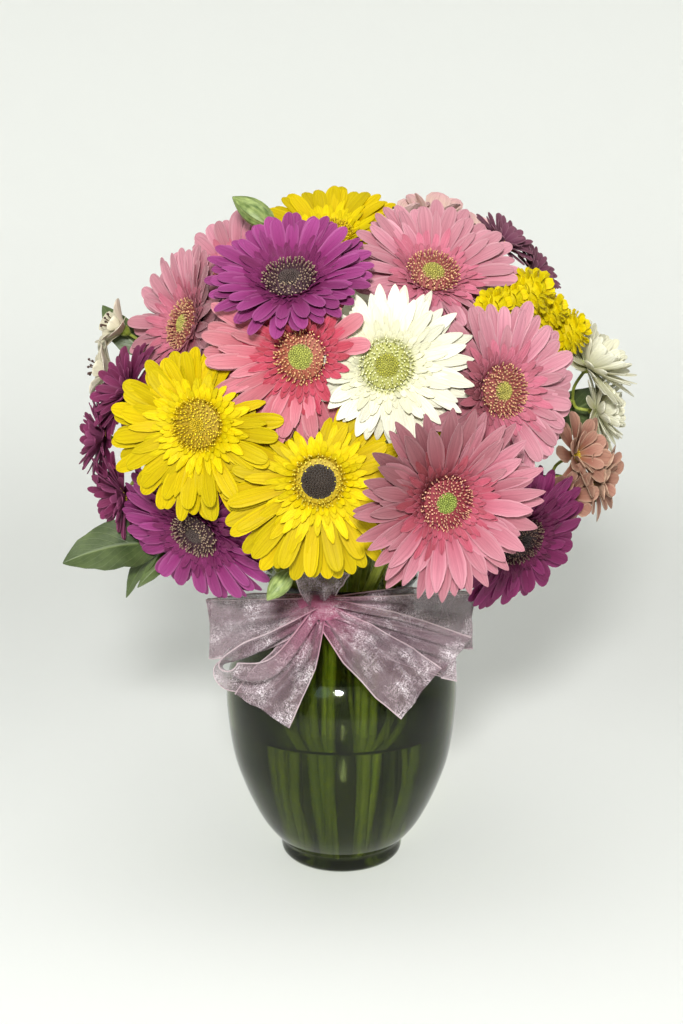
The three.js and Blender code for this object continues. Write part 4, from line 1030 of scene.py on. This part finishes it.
# The ribbon's edge tubes: less see-through than the cloth, and paler, a painted sheen along the edges.
organza_edge = ribbon_material("organza_edge", (166, 144, 150), (196, 176, 180), 0.9, 0.3)
organza_knot = ribbon_material("organza_knot", (140, 46, 86), (160, 80, 112), 0.9, 0.5)
bow = Form()
for line, halves, across, folds in RIBBON_PIECES:
    ribbon_strip(bow, line, halves, across, folds)
turns = np.linspace(0, 2 * math.pi, BAND_STEPS)
band_line = np.column_stack([BAND_RADIUS * np.sin(turns), -BAND_RADIUS * np.cos(turns),
                             np.full(BAND_STEPS, BAND_HEIGHT)])
bow.add(*sheet(band_line, np.tile([0, 0, 1.0], (BAND_STEPS, 1)), np.full(BAND_STEPS, BAND_HALF), 17, 0.3,
               lambda u, v: 0.1 * np.sin(u * 11 + 2 * np.sin(v * 19)) + 0.05, turns / 6.28, 0.4))
knot_line = curve([(-27, -48, 183), (-22, -53, 184), (-10, -56, 185), (0, -53, 184), (4, -49, 183)], 5)
knot_share = np.linspace(0, 1, len(knot_line))
knot_radii = np.interp(knot_share, [0, 0.25, 0.5, 0.75, 1], [4, 7.4, 8.6, 7.4, 4])
knot_points, knot_faces, knot_marks = tube(knot_line, knot_radii, KNOT_SIDES, 0.5)
turn = np.arange(len(knot_points)) % KNOT_SIDES / KNOT_SIDES * 2 * math.pi
centre = np.repeat(knot_line, KNOT_SIDES, axis=0)
wrinkle = 1 + 0.07 * np.sin(turn * 9 + 2 * np.sin(np.repeat(knot_share, KNOT_SIDES) * 9))
bow.add(centre + (knot_points - centre) * wrinkle[:, None], knot_faces, knot_marks, kind=2)
ribbon = bow.make("ribbon_bow", [organza, organza_edge, organza_knot], ["ribbon"], "ribbon")

# Vase
def lathe(outline, sides):
    """Points and faces of an outline of radii and heights turned round the z axis."""
    angles = np.arange(sides) / sides * 2 * math.pi
    points, faces, rings = [], [], []
    for radius, height in np.asarray(outline, float):
        start = len(points)
        points.extend([polar(radius, a, height) for a in angles] if radius else [(0, 0, height)])
        rings.append(range(start, len(points)))
    for low, high in zip(rings, rings[1:]):
        for i in range(sides):
            j = (i + 1) % sides
            if len(low) == 1:
                faces.append([low[0], high[j], high[i]])
            elif len(high) == 1:
                faces.append([low[i], low[j], high[0]])
            else:
                faces.append([low[i], low[j], high[j], high[i]])
    return np.array(points), faces


def glassware(outline, name, material, cad_name):
    """A turned piece that lets light through to the stems inside."""
    form = Form()
    form.add(*lathe(outline, VASE_SIDES), (0.5, 0.5, 0.5, 0))
    form.make(name, [material], [cad_name], cad_name).visible_shadow = False


def glass_material():
    look = Look("vase_glass")
    tint = look.ramp(look.noise(26.0), (0.3, (102, 112, 68)), (0.7, (122, 130, 84)))
    # Painted shade: the glass turns darker where it is seen edge-on, towards the vase's outline, standing in
    # for light's longer path through the wall.
    edge = look.node("LayerWeight", {"Blend": 0.35}, "Facing")
    return look.finish({"Base Color": look.mix(edge, tint, (52, 56, 42)), "Transmission Weight": 1.0,
                        "IOR": 1.3, "Roughness": 0.0, "Coat Weight": 0.1, "Coat Roughness": 0.1},
                       look.noise(34.0, 1.0), 0.04, 0.002)


def water_material():
    look = Look("water")
    colour = look.ramp(look.noise(18.0), (0.3, (218, 224, 190)), (0.7, (232, 236, 214)))
    return look.finish({"Base Color": colour, "Transmission Weight": 1.0, "IOR": 1.333, "Roughness": 0.0})


outside = curve(VASE_OUTSIDE[1:], 5)
inside = curve(VASE_INSIDE, 5)
profile = np.vstack([[(0, 1.6), (30, 1.2), (34, 0.3), (36, 0), (38.5, 0.8), (40.2, 3), (40.8, 6), (40.3, 9)],
                     outside, [(49.8, 192.2), (48.9, 192.6)], inside, [(24, 7), (0, 7)]])
glassware(profile, "vase_glass", glass_material(), "vase")

# Water: up to a meniscus that climbs the glass
wet = [(0, 6.8)] + [(r + 0.4, z) for r, z in inside[::-1] if z < WATER_LEVEL - 2]
wet += [(radius, WATER_LEVEL + rise) for radius, rise in
        [(72.0, 2.2), (71.0, 0.6), (69.4, -0.4), (66, -1), (0, -1)]]
glassware(wet, "water_fill", water_material(), "water")

# Floor that curves up far away on every side, in metres
FLOOR_SIDES = 64
FLOOR = [(0, 0), (0.5, 0), (0.8, 0.004), (1.0, 0.022), (1.16, 0.06), (1.29, 0.125), (1.39, 0.22),
         (1.46, 0.35), (1.49, 0.52), (1.5, 0.72), (1.5, 1.3)]
floor = bpy.data.meshes.new("floor")
floor_points, floor_faces = lathe(FLOOR[::-1], FLOOR_SIDES)
floor.from_pydata(floor_points.tolist(), [], floor_faces)
floor.polygons.foreach_set("use_smooth", np.ones(len(floor.polygons), bool))
floor.materials.append(Look("floor_pale").finish({"Base Color": linear((238, 239, 235)), "Roughness": 0.9}))
add_object("floor", floor)

# World, lights and camera
world = bpy.data.worlds.new("studio")
world.use_nodes = True
background = world.node_tree.nodes["Background"]
background.inputs["Color"].default_value = (0.96, 0.98, 1.0, 1)
background.inputs["Strength"].default_value = 0.065
bpy.context.scene.world = world
bpy.context.scene.view_settings.view_transform = "Standard"


def light(name, kind, at, target, power, **settings):
    made = bpy.data.lights.new(name, kind)
    made.energy = power
    for key, value in settings.items():
        setattr(made, key, value)
    piece = add_object(name, made)
    piece.location = at
    piece.rotation_euler = (Vector(target) - Vector(at)).to_track_quat("-Z", "Y").to_euler()
    return made


def lamp(name, at, target, size, power, colour=(1, 1, 1)):
    light(name, "AREA", at, target, power, shape="DISK", size=size, color=colour)


# Linear falloff, as from a flash that stands further off
key = light("key", "SPOT", (-0.05, -1.05, 0.68), (0, 0.35, 0.25), 49,
            spot_size=math.radians(130), spot_blend=1.0, shadow_soft_size=0.08, use_nodes=True)
falloff = key.node_tree.nodes.new("ShaderNodeLightFalloff")
falloff.inputs["Strength"].default_value = 1.0
key.node_tree.links.new(falloff.outputs["Linear"], key.node_tree.nodes["Emission"].inputs["Strength"])
lamp("top", (0, -0.3, 1.9), (0, -0.4, 0), 1.3, 9)
lamp("back_left", (-1.0, 1.0, 1.5), (0, 0, 0.25), 0.9, 1.1)
lamp("back_right", (1.0, 1.0, 1.5), (0, 0, 0.25), 0.9, 1.1)
lamp("window", (-0.5, -1.3, 0.85), (0, 0, 0.15), 0.5, 1.1, (0.62, 1.0, 0.86))

camera = add_object("camera", bpy.data.cameras.new("camera"))
camera.location = (0, -0.82, 0.4)
camera.rotation_euler = (math.radians(90 - 11.5), 0, 0)
camera.data.lens = 45.42
camera.data.sensor_width = 36
bpy.context.scene.camera = camera
